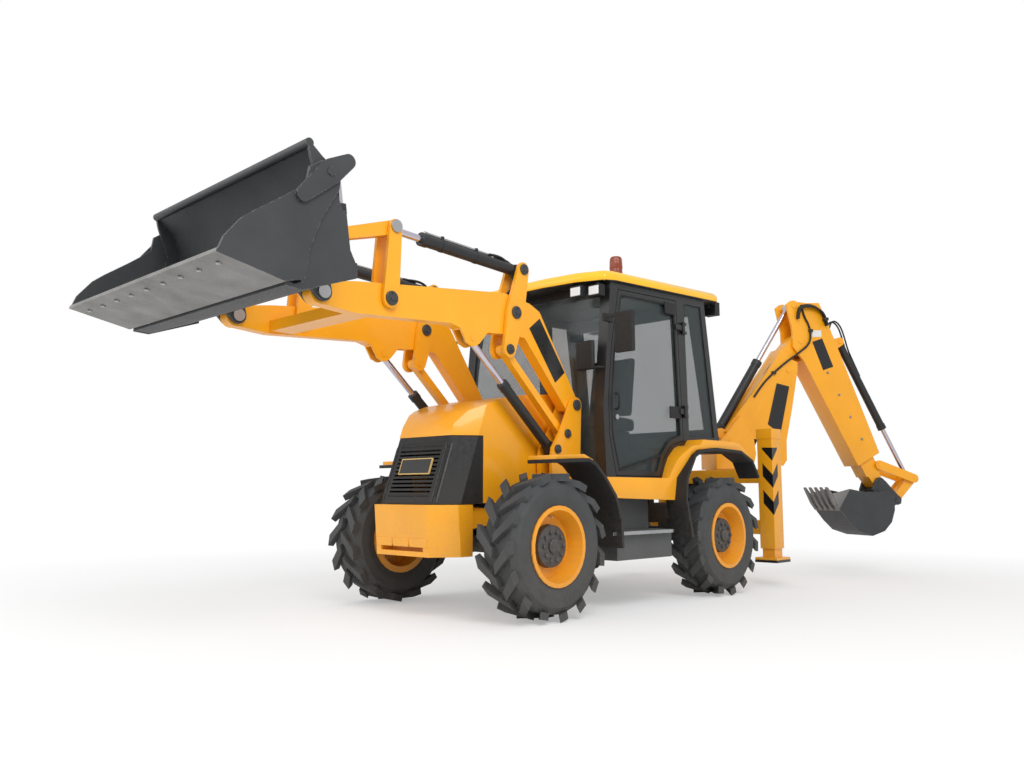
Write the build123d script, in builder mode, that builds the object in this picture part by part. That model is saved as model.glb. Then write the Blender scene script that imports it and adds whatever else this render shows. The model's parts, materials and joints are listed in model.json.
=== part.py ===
from build123d import *
import os
from math import atan2, cos, degrees, hypot, radians, sin, sqrt

# Backhoe loader with four equal wheels, a four-in-one front shovel on parallel lift arms and a
# side-shifting backhoe.  Millimetres, +X forward, +Y to the machine's left, +Z up.  The ground is
# z = 0 and the origin lies under the middle of the whole machine.  Outlines are written in machine
# coordinates, (x ahead of the rear axle, z above the ground) or, for the slewed backhoe,
# (s out from the slew axis, z above the ground).

# ---------------------------------------------------------------- driving dimensions
AXLE_X = -607.8            # rear axle in the part's own frame
MID_Y = -152.8             # the machine's centre plane in the part's own frame

WHEELBASE = 2187.0
TRACK = 1666.0
TYRE_RADIUS = 500.0
TYRE_WIDTH = 314.0
RIM_RADIUS = 273.0         # outer flange
RIM_SEAT = 240.0           # bead seat
RIM_WIDTH = 300.0
RIM_WALL = 15.0
HUB_RADIUS = 148.0
HUB_FACE = 95.0            # hub cover's outer face, out from the tyre's middle plane
DISC_THICKNESS = 16.0
SPINDLE_RADIUS = 50.0
LUGS = 15                  # per side
LUG_HEIGHT = 50.0

KINGPIN_Y = 600.0
KINGPIN_RADIUS = 45.0
AXLE_PIVOT = 45.0          # radius of the front beam's pivot pin
AXLE_Z = TYRE_RADIUS

RAIL_Y = 330.0             # middle of a chassis rail
RAIL_WIDTH = 60.0
RAIL_BOTTOM = 600.0
RAIL_TOP = 760.0
CHASSIS_REAR = -950.0
CHASSIS_FRONT = 2450.0

SEAT_GAP = 0.3             # between pieces that rest on each other
PIN_CLEARANCE = 0.5
RUN_CLEARANCE = 5.0

# ---------------------------------------------------------------- loader, side-view points (x, z)
ARM_PIVOT = (1511.0, 1528.0)
LEVER_PIVOT = (2181.0, 2154.0)
LEVER_FOOT = (2244.0, 1878.0)
STAY_PIVOT = (1621.0, 1303.0)
LEVER_TOP = (2100.0, 2488.0)
CRANK_PIVOT = (3317.0, 2077.0)
CRANK_TOP = (3289.0, 2552.0)
BUCKET_PIVOT = (3819.0, 2038.0)
BUCKET_TOP_PIN = (3890.0, 2362.0)
LIFT_BASE = (1736.0, 1182.0)
LIFT_EYE = (2578.0, 1923.0)
ARM_Y = 500.0              # middle plane of each arm
ARM_WIDTH = 90.0
PLATE = 25.0               # lever, crank and tower plates
PLATE_Y = ARM_WIDTH / 2 + RUN_CLEARANCE + PLATE / 2   # plate's middle out from the arm's
TOWER_Y = PLATE_Y          # tower plates, in line with the lever plates
LOADER_PIN = 25.0          # pin radius
BUCKET_PIN = 30.0          # at the bucket and at the cranks' tops
PIN_HEAD = 42.0            # their heads' radius
PIN_HEAD_WIDTH = 12.0

# ---------------------------------------------------------------- loader bucket
BUCKET_HALF = 945.0        # outer face of the back section's side plates
SHEET = 18.0
JAW_PIVOT = (4063.0, 2599.0)
JAW_LEVER_PIN = (3947.0, 2688.0)
CLAM_BASE = (3868.0, 2140.0)
CLAM_Y = 858.0

# ---------------------------------------------------------------- backhoe, (s, z) in its plane
SLEW_ANGLE = 32.0
SLEW_X = -1281.0
SLEW_Y = -74.0
BOOM_FOOT = (271.0, 1394.0)
BOOM_RAM_BASE = (475.0, 1190.0)
BOOM_RAM_EYE = (981.0, 2156.0)
DIPPER_PIVOT = (1145.0, 2483.0)
DIPPER_RAM_BASE = (188.0, 1480.0)
DIPPER_RAM_EYE = (1076.0, 2864.0)
DIPPER_HEEL = (1167.0, 2278.0)        # front wall of the outer dipper, upper end
DIPPER_SLOPE = -61.6                  # direction of the dipper's slide
BUCKET_RAM_BASE = (1690.0, 2515.0)
TOOL_PIVOT = (2043.0, 963.0)
LEVER_PIN = (2049.0, 1160.0)
KNUCKLE_PIN = (2480.0, 1014.0)
TOOL_EAR = (2246.0, 778.0)
BACKHOE_PIN = 24.0


# ---------------------------------------------------------------- planes and small makers
def side(y=0.0):
    """Plane of a side view at y from the machine's middle, sketched in (x, z)."""
    return Plane(origin=(AXLE_X, MID_Y + y, 0), x_dir=(1, 0, 0), z_dir=(0, -1, 0))


def facing(x=0.0):
    """Plane across the machine at x ahead of the rear axle, sketched in (y, z)."""
    return Plane(origin=(AXLE_X + x, MID_Y, 0), x_dir=(0, 1, 0), z_dir=(1, 0, 0))


def level(z=0.0):
    """Horizontal plane at height z, sketched in (x, y)."""
    return Plane(origin=(AXLE_X, MID_Y, z), x_dir=(1, 0, 0), z_dir=(0, 0, 1))


def slewed(off=0.0):
    """The backhoe's own upright plane, off to its left, sketched in (s, z)."""
    turn = radians(SLEW_ANGLE)
    out = (-cos(turn), sin(turn), 0)
    left = (sin(turn), cos(turn), 0)
    origin = (AXLE_X + SLEW_X + off * left[0], MID_Y + SLEW_Y + off * left[1], 0)
    return Plane(origin=origin, x_dir=out, z_dir=left)


def along(plane, start, end):
    """Plane at start whose normal points to end, both given in the plane's coordinates."""
    first = plane.from_local_coords(Vector(start[0], start[1], 0))
    last = plane.from_local_coords(Vector(end[0], end[1], 0))
    return Plane(origin=first, x_dir=plane.z_dir, z_dir=last - first)


def distance(start, end):
    """Distance between two sketch points."""
    return hypot(end[0] - start[0], end[1] - start[1])


def between(start, end, share):
    """Sketch point at a share of the way from start to end."""
    return (start[0] + (end[0] - start[0]) * share, start[1] + (end[1] - start[1]) * share)


def round_face(radius, hollow=False):
    """A many-sided round in the open sketch: a bar's corners, or a bore's flats, lie on the radius."""
    RegularPolygon(radius, 16 if radius < 90 else 24, major_radius=not hollow)


def turned(plane, steps, sides, mode=Mode.ADD):
    """A many-sided turned form through (distance along the axis, radius) steps."""
    sections = []
    for reach, radius in steps:
        with BuildSketch(plane.offset(reach)) as section:
            RegularPolygon(radius, sides)
        sections.append(section.sketch)
    loft(sections=sections, ruled=True, mode=mode)


def slab(outline, plane, thickness, mode=Mode.ADD):
    """A plate of the outline, its middle on the plane."""
    with BuildSketch(plane) as face:
        with BuildLine():
            Polyline(*outline, close=True)
        make_face()
    extrude(face.sketch, amount=thickness / 2, both=True, mode=mode)


def lobes(ends, plane, thickness, mode=Mode.ADD):
    """A plate wrapped round discs given as ((x, z), radius)."""
    with BuildSketch(plane) as face:
        for centre, radius in ends:
            with Locations(centre):
                round_face(radius)
        make_hull()
    extrude(face.sketch, amount=thickness / 2, both=True, mode=mode)


def disc(centre, radius, plane, length, mode=Mode.ADD):
    """A round bar or bore through the plane."""
    with BuildSketch(plane) as face:
        with Locations(centre):
            Circle(radius)
    extrude(face.sketch, amount=length / 2, both=True, mode=mode)


def block(x_range, y_range, z_range, mode=Mode.ADD):
    """A straight block between machine coordinates."""
    outline = [(x_range[0], y_range[0]), (x_range[1], y_range[0]), (x_range[1], y_range[1]), (x_range[0], y_range[1])]
    with BuildSketch(level(z_range[0])) as face:
        with BuildLine():
            Polyline(*outline, close=True)
        make_face()
    extrude(face.sketch, amount=z_range[1] - z_range[0], mode=mode)


def upright(centre, radius, low, high, mode=Mode.ADD):
    """A vertical round bar or bore between two heights."""
    with BuildSketch(level(low)) as face:
        with Locations(centre):
            Circle(radius)
    extrude(face.sketch, amount=high - low, mode=mode)


def barrel(plane, base, eye, length, radius, bore, pin, width):
    """A ram's barrel from its base pin: tube, gland collar and bored eye."""
    line = along(plane, base, eye)
    start = pin * 2.4 + 8
    with BuildSketch(line.offset(start)) as tube:
        round_face(radius)
    extrude(tube.sketch, amount=length - start)
    with BuildSketch(line.offset(length - 55)) as collar:
        round_face(radius + 5)
    extrude(collar.sketch, amount=55)
    lobes([(base, pin * 1.9), (between(base, eye, (start + 5) / distance(base, eye)), radius * 0.7)], plane, width)
    with BuildSketch(line.offset(start + 15)) as hollow:
        round_face(bore, hollow=True)
    extrude(hollow.sketch, amount=length, mode=Mode.SUBTRACT)
    disc(base, pin + PIN_CLEARANCE, plane, width * 3, Mode.SUBTRACT)


def rod(plane, base, eye, length, radius, pin, width):
    """A ram's rod from its eye, pin pressed in, back into the barrel."""
    line = along(plane, eye, base)
    with BuildSketch(line) as bar:
        round_face(radius, hollow=True)
    extrude(bar.sketch, amount=length)
    disc(eye, pin * 1.7, plane, width)


def keep(part, name):
    """Label a finished sub-part and write it."""
    part.label = name
    export_step(part, f"parts/{name}.step")


os.makedirs("parts", exist_ok=True)

SIDES = (("left", 1), ("right", -1))
AXLE_ENDS = (("front", WHEELBASE), ("rear", 0.0))


def wheel_plane(axle, hand):
    """Plane through a tyre's middle that faces out from the machine."""
    return Plane(origin=(AXLE_X + axle, MID_Y + hand * TRACK / 2, AXLE_Z), x_dir=(0, 0, 1), z_dir=(0, hand, 0))


# ---------------------------------------------------------------- tyres
# (distance out from the middle, radius): the outer form, and the bead and flanks cut out of it
WHEEL_SIDES = 30
FLANK = (TYRE_WIDTH / 2, 335.0)
TREAD_EDGE = ((TYRE_WIDTH / 2 - 4, 400.0), (118.0, 448.0))
BEAD = ((140.0, 276.0), (129.5, RIM_SEAT + SEAT_GAP))
# lug outline on the tread: (distance out from the middle, along the tread)
LUG = [(152, 118), (152, 34), (4, -100), (4, -34)]
LUG_TOP = sqrt(TYRE_RADIUS ** 2 - LUG[0][1] ** 2)
LUG_TURN = degrees(atan2(LUG[0][1], LUG_TOP))      # the lug's furthest corner, round from its middle

for side_name, hand in SIDES:
    face = wheel_plane(0.0, hand)
    with BuildPart() as lugged:
        outer = [FLANK, *TREAD_EDGE]
        inner = [FLANK, *BEAD]
        turned(face, [(-a, r) for a, r in outer] + [(a, r) for a, r in reversed(outer)], WHEEL_SIDES)
        turned(face, [(-a, r) for a, r in inner] + [(a, r) for a, r in reversed(inner)], WHEEL_SIDES, Mode.SUBTRACT)
        lugs = []
        for flank in (1, -1):
            for step in range(LUGS):
                turn = radians(-90 - hand * LUG_TURN + step * 360 / LUGS + (180 / LUGS if flank < 0 else 0))
                radial = Vector(cos(turn), 0, sin(turn))
                tread = Plane(origin=face.origin + radial * LUG_TOP, x_dir=(0, 1, 0), z_dir=radial)
                with BuildSketch(tread) as lug:
                    with BuildLine():
                        Polyline(*[(flank * a, t * hand) for a, t in LUG], close=True)
                    make_face()
                lugs.append(extrude(lug.sketch, amount=-LUG_HEIGHT, mode=Mode.PRIVATE))
        add(lugs)
    for end, axle in AXLE_ENDS:
        with BuildPart() as tyre:
            with Locations((axle, 0, 0)):
                add(lugged.part)
        keep(tyre.part, f"tyre_{end}_{side_name}")

# ---------------------------------------------------------------- rims with their hub covers
DISH = 20.0                # the disc's inner face, out from the middle
HALF_RIM = RIM_WIDTH / 2
BARREL = [(-HALF_RIM, RIM_RADIUS), (-HALF_RIM + 10, RIM_RADIUS), (-HALF_RIM + 20, RIM_SEAT), (HALF_RIM - 20, RIM_SEAT),
          (HALF_RIM - 10, RIM_RADIUS), (HALF_RIM, RIM_RADIUS)]
for side_name, hand in SIDES:
    face = wheel_plane(0.0, hand)
    with BuildPart() as dished:
        turned(face, BARREL, WHEEL_SIDES)
        turned(face, [(-HALF_RIM - 1, RIM_SEAT - RIM_WALL), (DISH, RIM_SEAT - RIM_WALL)], WHEEL_SIDES, Mode.SUBTRACT)
        recess = [(DISH + DISC_THICKNESS, RIM_SEAT - RIM_WALL - 15), (HALF_RIM + 1, RIM_SEAT - RIM_WALL + 18)]
        turned(face, recess, WHEEL_SIDES, Mode.SUBTRACT)
        turned(face, [(DISH + 1, HUB_RADIUS), (HUB_FACE - 12, HUB_RADIUS - 6), (HUB_FACE, HUB_RADIUS - 30)], 24)
        with BuildSketch(face.offset(DISH - 1)):
            Circle(SPINDLE_RADIUS + SEAT_GAP)
        extrude(amount=41, mode=Mode.SUBTRACT)
    for end, axle in AXLE_ENDS:
        with BuildPart() as rim:
            with Locations((axle, 0, 0)):
                add(dished.part)
        keep(rim.part, f"rim_{end}_{side_name}")

# ---------------------------------------------------------------- axles: front beam on its pivot, rear casing
with BuildPart() as axles:
    block((WHEELBASE - 55, WHEELBASE + 55), (-KINGPIN_Y, KINGPIN_Y), (AXLE_Z - 55, AXLE_Z + 55))
    for hand in (1, -1):
        with BuildSketch(level(AXLE_Z - 72)) as boss:
            with Locations((WHEELBASE, hand * KINGPIN_Y)):
                round_face(KINGPIN_RADIUS + 18)
        extrude(boss.sketch, amount=144)
        with BuildSketch(level(AXLE_Z - 120)) as kingpin:
            with Locations((WHEELBASE, hand * KINGPIN_Y)):
                Circle(22)
        extrude(kingpin.sketch, amount=240)
    for x, reach, radius in ((WHEELBASE, 90, 95), (WHEELBASE, 170, AXLE_PIVOT), (0, 150, 98)):
        with BuildSketch(facing(x - reach)) as housing:
            with Locations((0, AXLE_Z)):
                round_face(radius, hollow=True)
        extrude(housing.sketch, amount=2 * reach)
    block((-60, 60), (-640, 640), (AXLE_Z - 60, AXLE_Z + 60))
    for hand in (1, -1):
        disc((0, AXLE_Z), 106, side(hand * (TRACK / 2 - 150)), 100)
        disc((0, AXLE_Z), 90, side(hand * (TRACK / 2 - 60)), 150)
        disc((0, AXLE_Z), SPINDLE_RADIUS, side(hand * (TRACK / 2 - 32)), 180)
        block((-60, 60), (hand * RAIL_Y - 30, hand * RAIL_Y + 30), (AXLE_Z + 59, RAIL_BOTTOM - SEAT_GAP))
keep(axles.part, "axles")

# ---------------------------------------------------------------- steering knuckles
for place, hand in (("left", 1), ("right", -1)):
    with BuildPart() as knuckle:
        middle = hand * KINGPIN_Y
        outer = hand * (KINGPIN_Y + 88)
        for z in (AXLE_Z + 92, AXLE_Z - 92):
            lobe = [((WHEELBASE, middle), 48), ((WHEELBASE, outer - hand * 20), 50)]
            with BuildSketch(level(z)) as arm:
                for centre, radius in lobe:
                    with Locations(centre):
                        round_face(radius)
                make_hull()
            extrude(arm.sketch, amount=14, both=True)
            with BuildSketch(level(z)) as bore:
                with Locations((WHEELBASE, middle)):
                    Circle(22 + PIN_CLEARANCE)
            extrude(bore.sketch, amount=30, both=True, mode=Mode.SUBTRACT)
        disc((WHEELBASE, AXLE_Z), 106, side(hand * (KINGPIN_Y + 96)), 40)
        disc((WHEELBASE, AXLE_Z), SPINDLE_RADIUS, side(hand * (TRACK / 2 - 32)), 180)
        disc((WHEELBASE, AXLE_Z), 90, side(hand * (TRACK / 2 - 60)), 150)
    keep(knuckle.part, f"knuckle_{place}")

# ---------------------------------------------------------------- chassis: rails, cross members, towers
TOWER_OUTLINE = [(1490, RAIL_TOP - 60), (1680, RAIL_TOP - 60), (1680, 800), (1800, 1000), (1800, 1120), (1790, 1190), (1690, 1330), (1570, 1560), (1470, 1560), (1455, 1500)]
HOOD_HINGE = (1485.0, 1600.0)
HOOD_PIN = 12.0
HOOD_HALF = 405.0
HOOD_WALL = 22.0
CAB_FLOOR = 820.0
CAB_REAR_FLOOR = 1200.0
CAB_MOUNTS = ((680.0, CAB_FLOOR), (1330.0, CAB_FLOOR), (-150.0, CAB_REAR_FLOOR), (240.0, CAB_REAR_FLOOR))   # (x, top)
with BuildPart() as chassis:
    for hand in (1, -1):
        block((CHASSIS_REAR, CHASSIS_FRONT), (hand * RAIL_Y - RAIL_WIDTH / 2, hand * RAIL_Y + RAIL_WIDTH / 2), (RAIL_BOTTOM, RAIL_TOP))
    for hand in (1, -1):
        for x, top in CAB_MOUNTS:
            rail = sorted((hand * (RAIL_Y - RAIL_WIDTH / 2), hand * (RAIL_Y + RAIL_WIDTH / 2)))
            block((x - 40, x + 40), rail, (RAIL_TOP - 20, top - SEAT_GAP))
    for x in (-900, 300, 1560, 2400):
        block((x - 40, x + 40), (-RAIL_Y, RAIL_Y), (RAIL_BOTTOM + 20, RAIL_TOP - 20))
    for x in (WHEELBASE - 150, WHEELBASE + 150):
        lobe = [(-RAIL_Y - 20, RAIL_BOTTOM + 60), (RAIL_Y + 20, RAIL_BOTTOM + 60), (90, AXLE_Z - 70), (-90, AXLE_Z - 70)]
        slab(lobe, facing(x), 30)
        with BuildSketch(facing(x)) as bore:
            with Locations((0, AXLE_Z)):
                round_face(45 + SEAT_GAP, hollow=True)
        extrude(bore.sketch, amount=30, both=True, mode=Mode.SUBTRACT)
    for hand in (1, -1):
        base = sorted((hand * RAIL_Y, hand * (ARM_Y + TOWER_Y + PLATE / 2)))
        block((1490, 1680), base, (RAIL_TOP - 60, RAIL_TOP))
        for across in (-TOWER_Y, TOWER_Y):
            plane = side(hand * ARM_Y + across)
            slab(TOWER_OUTLINE, plane, PLATE)
            disc(ARM_PIVOT, 60, plane, PLATE)
        for point in (ARM_PIVOT, STAY_PIVOT, LIFT_BASE):
            disc(point, LOADER_PIN, side(hand * ARM_Y), 2 * TOWER_Y + PLATE + 14)
        inner_plate = side(hand * (ARM_Y - TOWER_Y))
        lobes([(ARM_PIVOT, 60), (HOOD_HINGE, 24)], inner_plate, PLATE)
        pin_end, plate_face = HOOD_HALF - HOOD_WALL - 3, ARM_Y - TOWER_Y
        disc(HOOD_HINGE, HOOD_PIN, side(hand * (pin_end + plate_face) / 2), plate_face - pin_end)
keep(chassis.part, "chassis")

# ---------------------------------------------------------------- engine block under the hood
ENGINE_MOUNTS = (1700.0, 2200.0)
with BuildPart() as engine:
    block((1540, 2300), (-250, 250), (RAIL_TOP + 20, 1330))
    for x in ENGINE_MOUNTS:
        block((x - 50, x + 50), (-RAIL_Y, RAIL_Y), (RAIL_TOP + SEAT_GAP, RAIL_TOP + 60))
keep(engine.part, "engine")

# ---------------------------------------------------------------- nose casting and bumper
BUMPER_TOP = 775.0
with BuildPart() as nose:
    bottom = [(2450, -415), (2560, -415), (2740, -285), (2740, 285), (2560, 415), (2450, 415)]
    top = [(2450, -415), (2590, -415), (2770, -285), (2770, 285), (2590, 415), (2450, 415)]
    for z, outline in ((420, bottom), (BUMPER_TOP, top)):
        with BuildSketch(level(z)):
            with BuildLine():
                Polyline(*outline, close=True)
            make_face()
    loft(ruled=True)
    block((2650, 2800), (-230, 230), (455, 500), Mode.SUBTRACT)
    with BuildSketch(level(420)) as towbore:
        with Locations((2690, 0)):
            Circle(20)
    extrude(towbore.sketch, amount=400, mode=Mode.SUBTRACT)
    block((2444, 2451), (-RAIL_Y - 30, RAIL_Y + 30), (RAIL_BOTTOM, RAIL_TOP), Mode.SUBTRACT)

# ---------------------------------------------------------------- hood and grille
HOOD_BASE = 786.0
HOOD_REAR = 1470.0
HOOD_CUT = 2340.0           # the grille's rear edge
HOOD_LIP = 1262.0           # the grille's upper edge
GRILLE_TOP = 1245.0
NOSE_RAKE = 195.0 / 565.0


def hood_plan(z, inset=0.0):
    """Plan outline of the hood at height z; its rear is cut by the side outline."""
    slide = (GRILLE_TOP - z) * NOSE_RAKE
    front = 2555 + slide - inset
    shoulder = 2395 + slide - inset
    half = HOOD_HALF - inset
    flat = 285 - inset
    return [(1000, -half), (shoulder, -half), (front, -flat), (front, flat), (shoulder, half), (1000, half)]


def hood_side(lower, inset=0.0):
    """Side outline of the hood from a lower height up."""
    rear = HOOD_REAR + inset
    crest = [(2900, 1200), (2552, GRILLE_TOP + 6), (2520, 1345), (2420, 1445), (2200, 1530), (1900, 1590), (1500, 1625)]
    return [(rear, lower), (2900, lower), *[(x, z - inset) for x, z in crest], (rear, 1625 - inset)]


def hood_solid(inset, mode):
    """The hood's closed form, inset by a wall: a prism along the nose's rake within the side outline."""
    lower = HOOD_BASE - (60 if inset else 0)
    with BuildPart(mode=Mode.PRIVATE) as plan:
        with BuildSketch(level(lower)) as outline:
            with BuildLine():
                Polyline(*hood_plan(lower, inset), close=True)
            make_face()
        extrude(outline.sketch, amount=(1700 - lower) * hypot(1, NOSE_RAKE), dir=(-NOSE_RAKE, 0, 1))
    with BuildPart(mode=Mode.PRIVATE) as flank:
        slab(hood_side(lower, inset), side(0), 1200)
    add(plan.part & flank.part, mode=mode)


with BuildPart() as hood:
    hood_solid(0, Mode.ADD)
    hood_solid(HOOD_WALL, Mode.SUBTRACT)
    block((HOOD_CUT, 2900), (-500, 500), (HOOD_BASE - 10, HOOD_LIP), Mode.SUBTRACT)
    block((HOOD_REAR - 20, HOOD_REAR + 60), (-340, 340), (HOOD_BASE - 10, 1560), Mode.SUBTRACT)
    for hand in (1, -1):
        disc(HOOD_HINGE, HOOD_PIN + PIN_CLEARANCE, side(hand * HOOD_HALF), 2 * HOOD_WALL + 16, Mode.SUBTRACT)
keep(hood.part, "hood")

with BuildPart() as grille:
    hood_solid(4, Mode.ADD)
    hood_solid(26, Mode.SUBTRACT)
    block((1000, HOOD_CUT + SEAT_GAP), (-500, 500), (0, 2000), Mode.SUBTRACT)
    block((1000, 3000), (-500, 500), (HOOD_LIP - SEAT_GAP, 2000), Mode.SUBTRACT)
    block((1000, 3000), (-500, 500), (0, BUMPER_TOP + RUN_CLEARANCE), Mode.SUBTRACT)
    for row in range(14):
        z = 830 + row * 29
        block((2560, 3000), (-225, 225), (z, z + 13), Mode.SUBTRACT)
keep(grille.part, "grille")

# ---------------------------------------------------------------- cab
CAB_HALF = 780.0
CAB_WALL = 40.0
CAB_SIDE = [(1400, CAB_FLOOR), (1438, 1500), (1330, 2500), (-20, 2560), (-220, 1280), (-220, CAB_REAR_FLOOR), (290, CAB_REAR_FLOOR),
            (610, 930), (610, CAB_FLOOR)]
CAB_INSIDE = [(1358, 880), (1396, 1500), (1290, 2520), (16, 2580), (-178, 1290), (-178, 1245), (312, 1245), (640, 975), (640, 880)]
DOOR = [(1290, 985), (1370, 1300), (1375, 1600), (1330, 2000), (1235, 2455), (420, 2490), (352, 1290), (540, 1245), (650, 1130), (705, 985)]
DOOR_PANE = [(1245, 1030), (1325, 1300), (1330, 1600), (1285, 2000), (1198, 2412), (462, 2445), (399, 1335), (562, 1290), (690, 1160),
             (745, 1030)]
QUARTER = [(300, 2480), (40, 2490), (-135, 1340), (265, 1330)]
WINDSCREEN_Y = 690.0
HINGE_X = 345.0
HINGE_Y = CAB_HALF + 20
HINGE_HEIGHTS = (1540.0, 2260.0)
HINGE_PIN = 8.0
HINGE_KNUCKLE = 14.0
REAR_WINDOW = [(-660, 1420), (660, 1420), (620, 2440), (-620, 2440)]

with BuildPart() as cab_shell:
    slab(CAB_SIDE, side(0), 2 * CAB_HALF)
    slab(CAB_INSIDE, side(0), 2 * (CAB_HALF - CAB_WALL), Mode.SUBTRACT)
    slab(DOOR, side(0), 2 * CAB_HALF + 10, Mode.SUBTRACT)
    slab(QUARTER, side(0), 2 * CAB_HALF + 10, Mode.SUBTRACT)
    block((1200, 1600), (-WINDSCREEN_Y, WINDSCREEN_Y), (1000, 2430), Mode.SUBTRACT)
    slab(REAR_WINDOW, facing(-100), 400, Mode.SUBTRACT)
    for hand in (1, -1):
        for z in HINGE_HEIGHTS:
            leaf = sorted((hand * CAB_HALF, hand * HINGE_Y))
            for low, high in ((z - 50, z - 24), (z + 24, z + 50)):
                block((HINGE_X - 50, HINGE_X), leaf, (low, high))
                upright((HINGE_X, hand * HINGE_Y), HINGE_KNUCKLE, low, high)
            upright((HINGE_X, hand * HINGE_Y), HINGE_PIN, z - 50, z + 50)
keep(cab_shell.part, "cab_shell")

ROOF_THICKNESS = 90.0
with BuildPart() as cab_roof:
    outline = [(-270, -760), (-200, -815), (1300, -815), (1400, -780), (1500, -560), (1540, -250), (1540, 250), (1500, 560), (1400, 780),
               (1300, 815), (-200, 815), (-270, 760)]
    slope = Plane(origin=(AXLE_X - 20, MID_Y, 2560 + SEAT_GAP), x_dir=(1350, 0, -60), z_dir=(60, 0, 1350))
    with BuildSketch(slope) as plan:
        with BuildLine():
            Polyline(*[(x + 20, y) for x, y in outline], close=True)
        make_face()
    extrude(plan.sketch, amount=ROOF_THICKNESS)
    chamfer(cab_roof.faces().sort_by(Axis.Z)[-1].edges(), 40)
keep(cab_roof.part, "cab_roof")

GLASS = 6.0
with BuildPart() as cab_glass:
    for hand in (1, -1):
        with BuildSketch(side(hand * (CAB_HALF - 14))) as pane:
            with BuildLine():
                Polyline(*QUARTER, close=True)
            make_face()
            offset(amount=-SEAT_GAP)
        extrude(pane.sketch, amount=GLASS / 2, both=True)
    front = [(1400, 1000.5), (1424, 1500), (1323, 2429.5), (1317, 2429.5), (1418, 1500), (1394, 1000.5)]
    slab(front, side(0), 2 * WINDSCREEN_Y - 2 * SEAT_GAP)
    tilt = Plane(origin=(AXLE_X - 220 + 14, MID_Y, 1280), x_dir=(0, 1, 0), z_dir=(1280, 0, -200))
    with BuildSketch(tilt) as pane:
        with BuildLine():
            Polyline((-659, 144), (-619, 1171), (619, 1171), (659, 144), close=True)
        make_face()
    extrude(pane.sketch, amount=GLASS / 2, both=True)
keep(cab_glass.part, "cab_glass")

for place, hand in (("left", 1), ("right", -1)):
    with BuildPart() as door:
        with BuildSketch(side(hand * (CAB_HALF - CAB_WALL / 2))) as frame:
            with BuildLine():
                Polyline(*DOOR, close=True)
            make_face()
            offset(amount=-6)
            with BuildLine():
                Polyline(*DOOR_PANE, close=True)
            make_face(mode=Mode.SUBTRACT)
        extrude(frame.sketch, amount=CAB_WALL / 2, both=True)
        with BuildSketch(side(hand * (CAB_HALF - CAB_WALL / 2))) as pane:
            with BuildLine():
                Polyline(*DOOR_PANE, close=True)
            make_face()
            offset(amount=-SEAT_GAP)
        extrude(pane.sketch, amount=GLASS / 2, both=True)
        for z in HINGE_HEIGHTS:
            edge = DOOR[6][0] + (z - DOOR[6][1]) * (DOOR[5][0] - DOOR[6][0]) / (DOOR[5][1] - DOOR[6][1])
            block((HINGE_X, edge + 50), sorted((hand * (HINGE_Y - HINGE_KNUCKLE), hand * HINGE_Y)), (z - 22, z + 22))
            block((edge + 12, edge + 50), sorted((hand * (CAB_HALF - 5), hand * HINGE_Y)), (z - 22, z + 22))
            upright((HINGE_X, hand * HINGE_Y), HINGE_KNUCKLE, z - 22, z + 22)
            upright((HINGE_X, hand * HINGE_Y), HINGE_PIN + PIN_CLEARANCE, z - 30, z + 30, Mode.SUBTRACT)
    keep(door.part, f"door_{place}")

# ---------------------------------------------------------------- inside the cab
with BuildPart() as seat:
    slab([(260, 1245 + SEAT_GAP), (312, 1245 + SEAT_GAP), (560, 1041 + 2 * SEAT_GAP), (560, 1400), (260, 1400)], side(0), 300)
    block((300, 820), (-240, 240), (1400 + SEAT_GAP, 1530))
    slab([(300, 1530 + SEAT_GAP), (420, 1530 + SEAT_GAP), (330, 2080), (230, 2080)], side(0), 440)
keep(seat.part, "seat")

with BuildPart() as console:
    block((1230, 1350), (-200, 200), (880 + SEAT_GAP, 1300))
    lobes([((1265, 1300), 40), ((1110, 1560), 30)], side(0), 60)
    tiltwheel = along(side(0), (1265, 1300), (1110, 1560))
    with BuildSketch(tiltwheel.offset(300)) as wheel:
        round_face(190)
        RegularPolygon(165, 24, mode=Mode.SUBTRACT)
        Rectangle(340, 30)
        Rectangle(30, 340)
    extrude(wheel.sketch, amount=24)
keep(console.part, "console")

# ---------------------------------------------------------------- fenders
FRONT_FENDER = [(2190, 1085), (1880, 1100), (1800, 1070), (1700, 985), (1570, 840), (1500, 660), (1490, 460)]
REAR_FENDER = [(560, 500), (640, 800), (620, 980), (494, 1165), (400, 1210), (152, 1235), (-250, 1225), (-449, 1149), (-560, 1000)]
FENDER_SHEET = 26.0


def shifted(path, amount):
    """The open path moved sideways, to the left of its direction."""
    moved = []
    for index, (x, z) in enumerate(path):
        before = path[max(index - 1, 0)]
        after = path[min(index + 1, len(path) - 1)]
        dx, dz = after[0] - before[0], after[1] - before[1]
        size = hypot(dx, dz)
        moved.append((x - dz / size * amount, z + dx / size * amount))
    return moved


def strip(path, thickness):
    """A band of the thickness along an open path, as a closed outline."""
    return list(path) + shifted(path, thickness)[::-1]


with BuildPart() as fenders:
    for hand in (1, -1):
        slab(strip(FRONT_FENDER, FENDER_SHEET), side(hand * 845), 310)
        slab(strip(REAR_FENDER[::-1], -FENDER_SHEET), side(hand * (CAB_HALF + SEAT_GAP + 100)), 200)
        strut = sorted((hand * (ARM_Y + TOWER_Y + PLATE / 2), hand * 700))
        block((1620, 1740), strut, (880, 905))
keep(fenders.part, "fenders")

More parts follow.
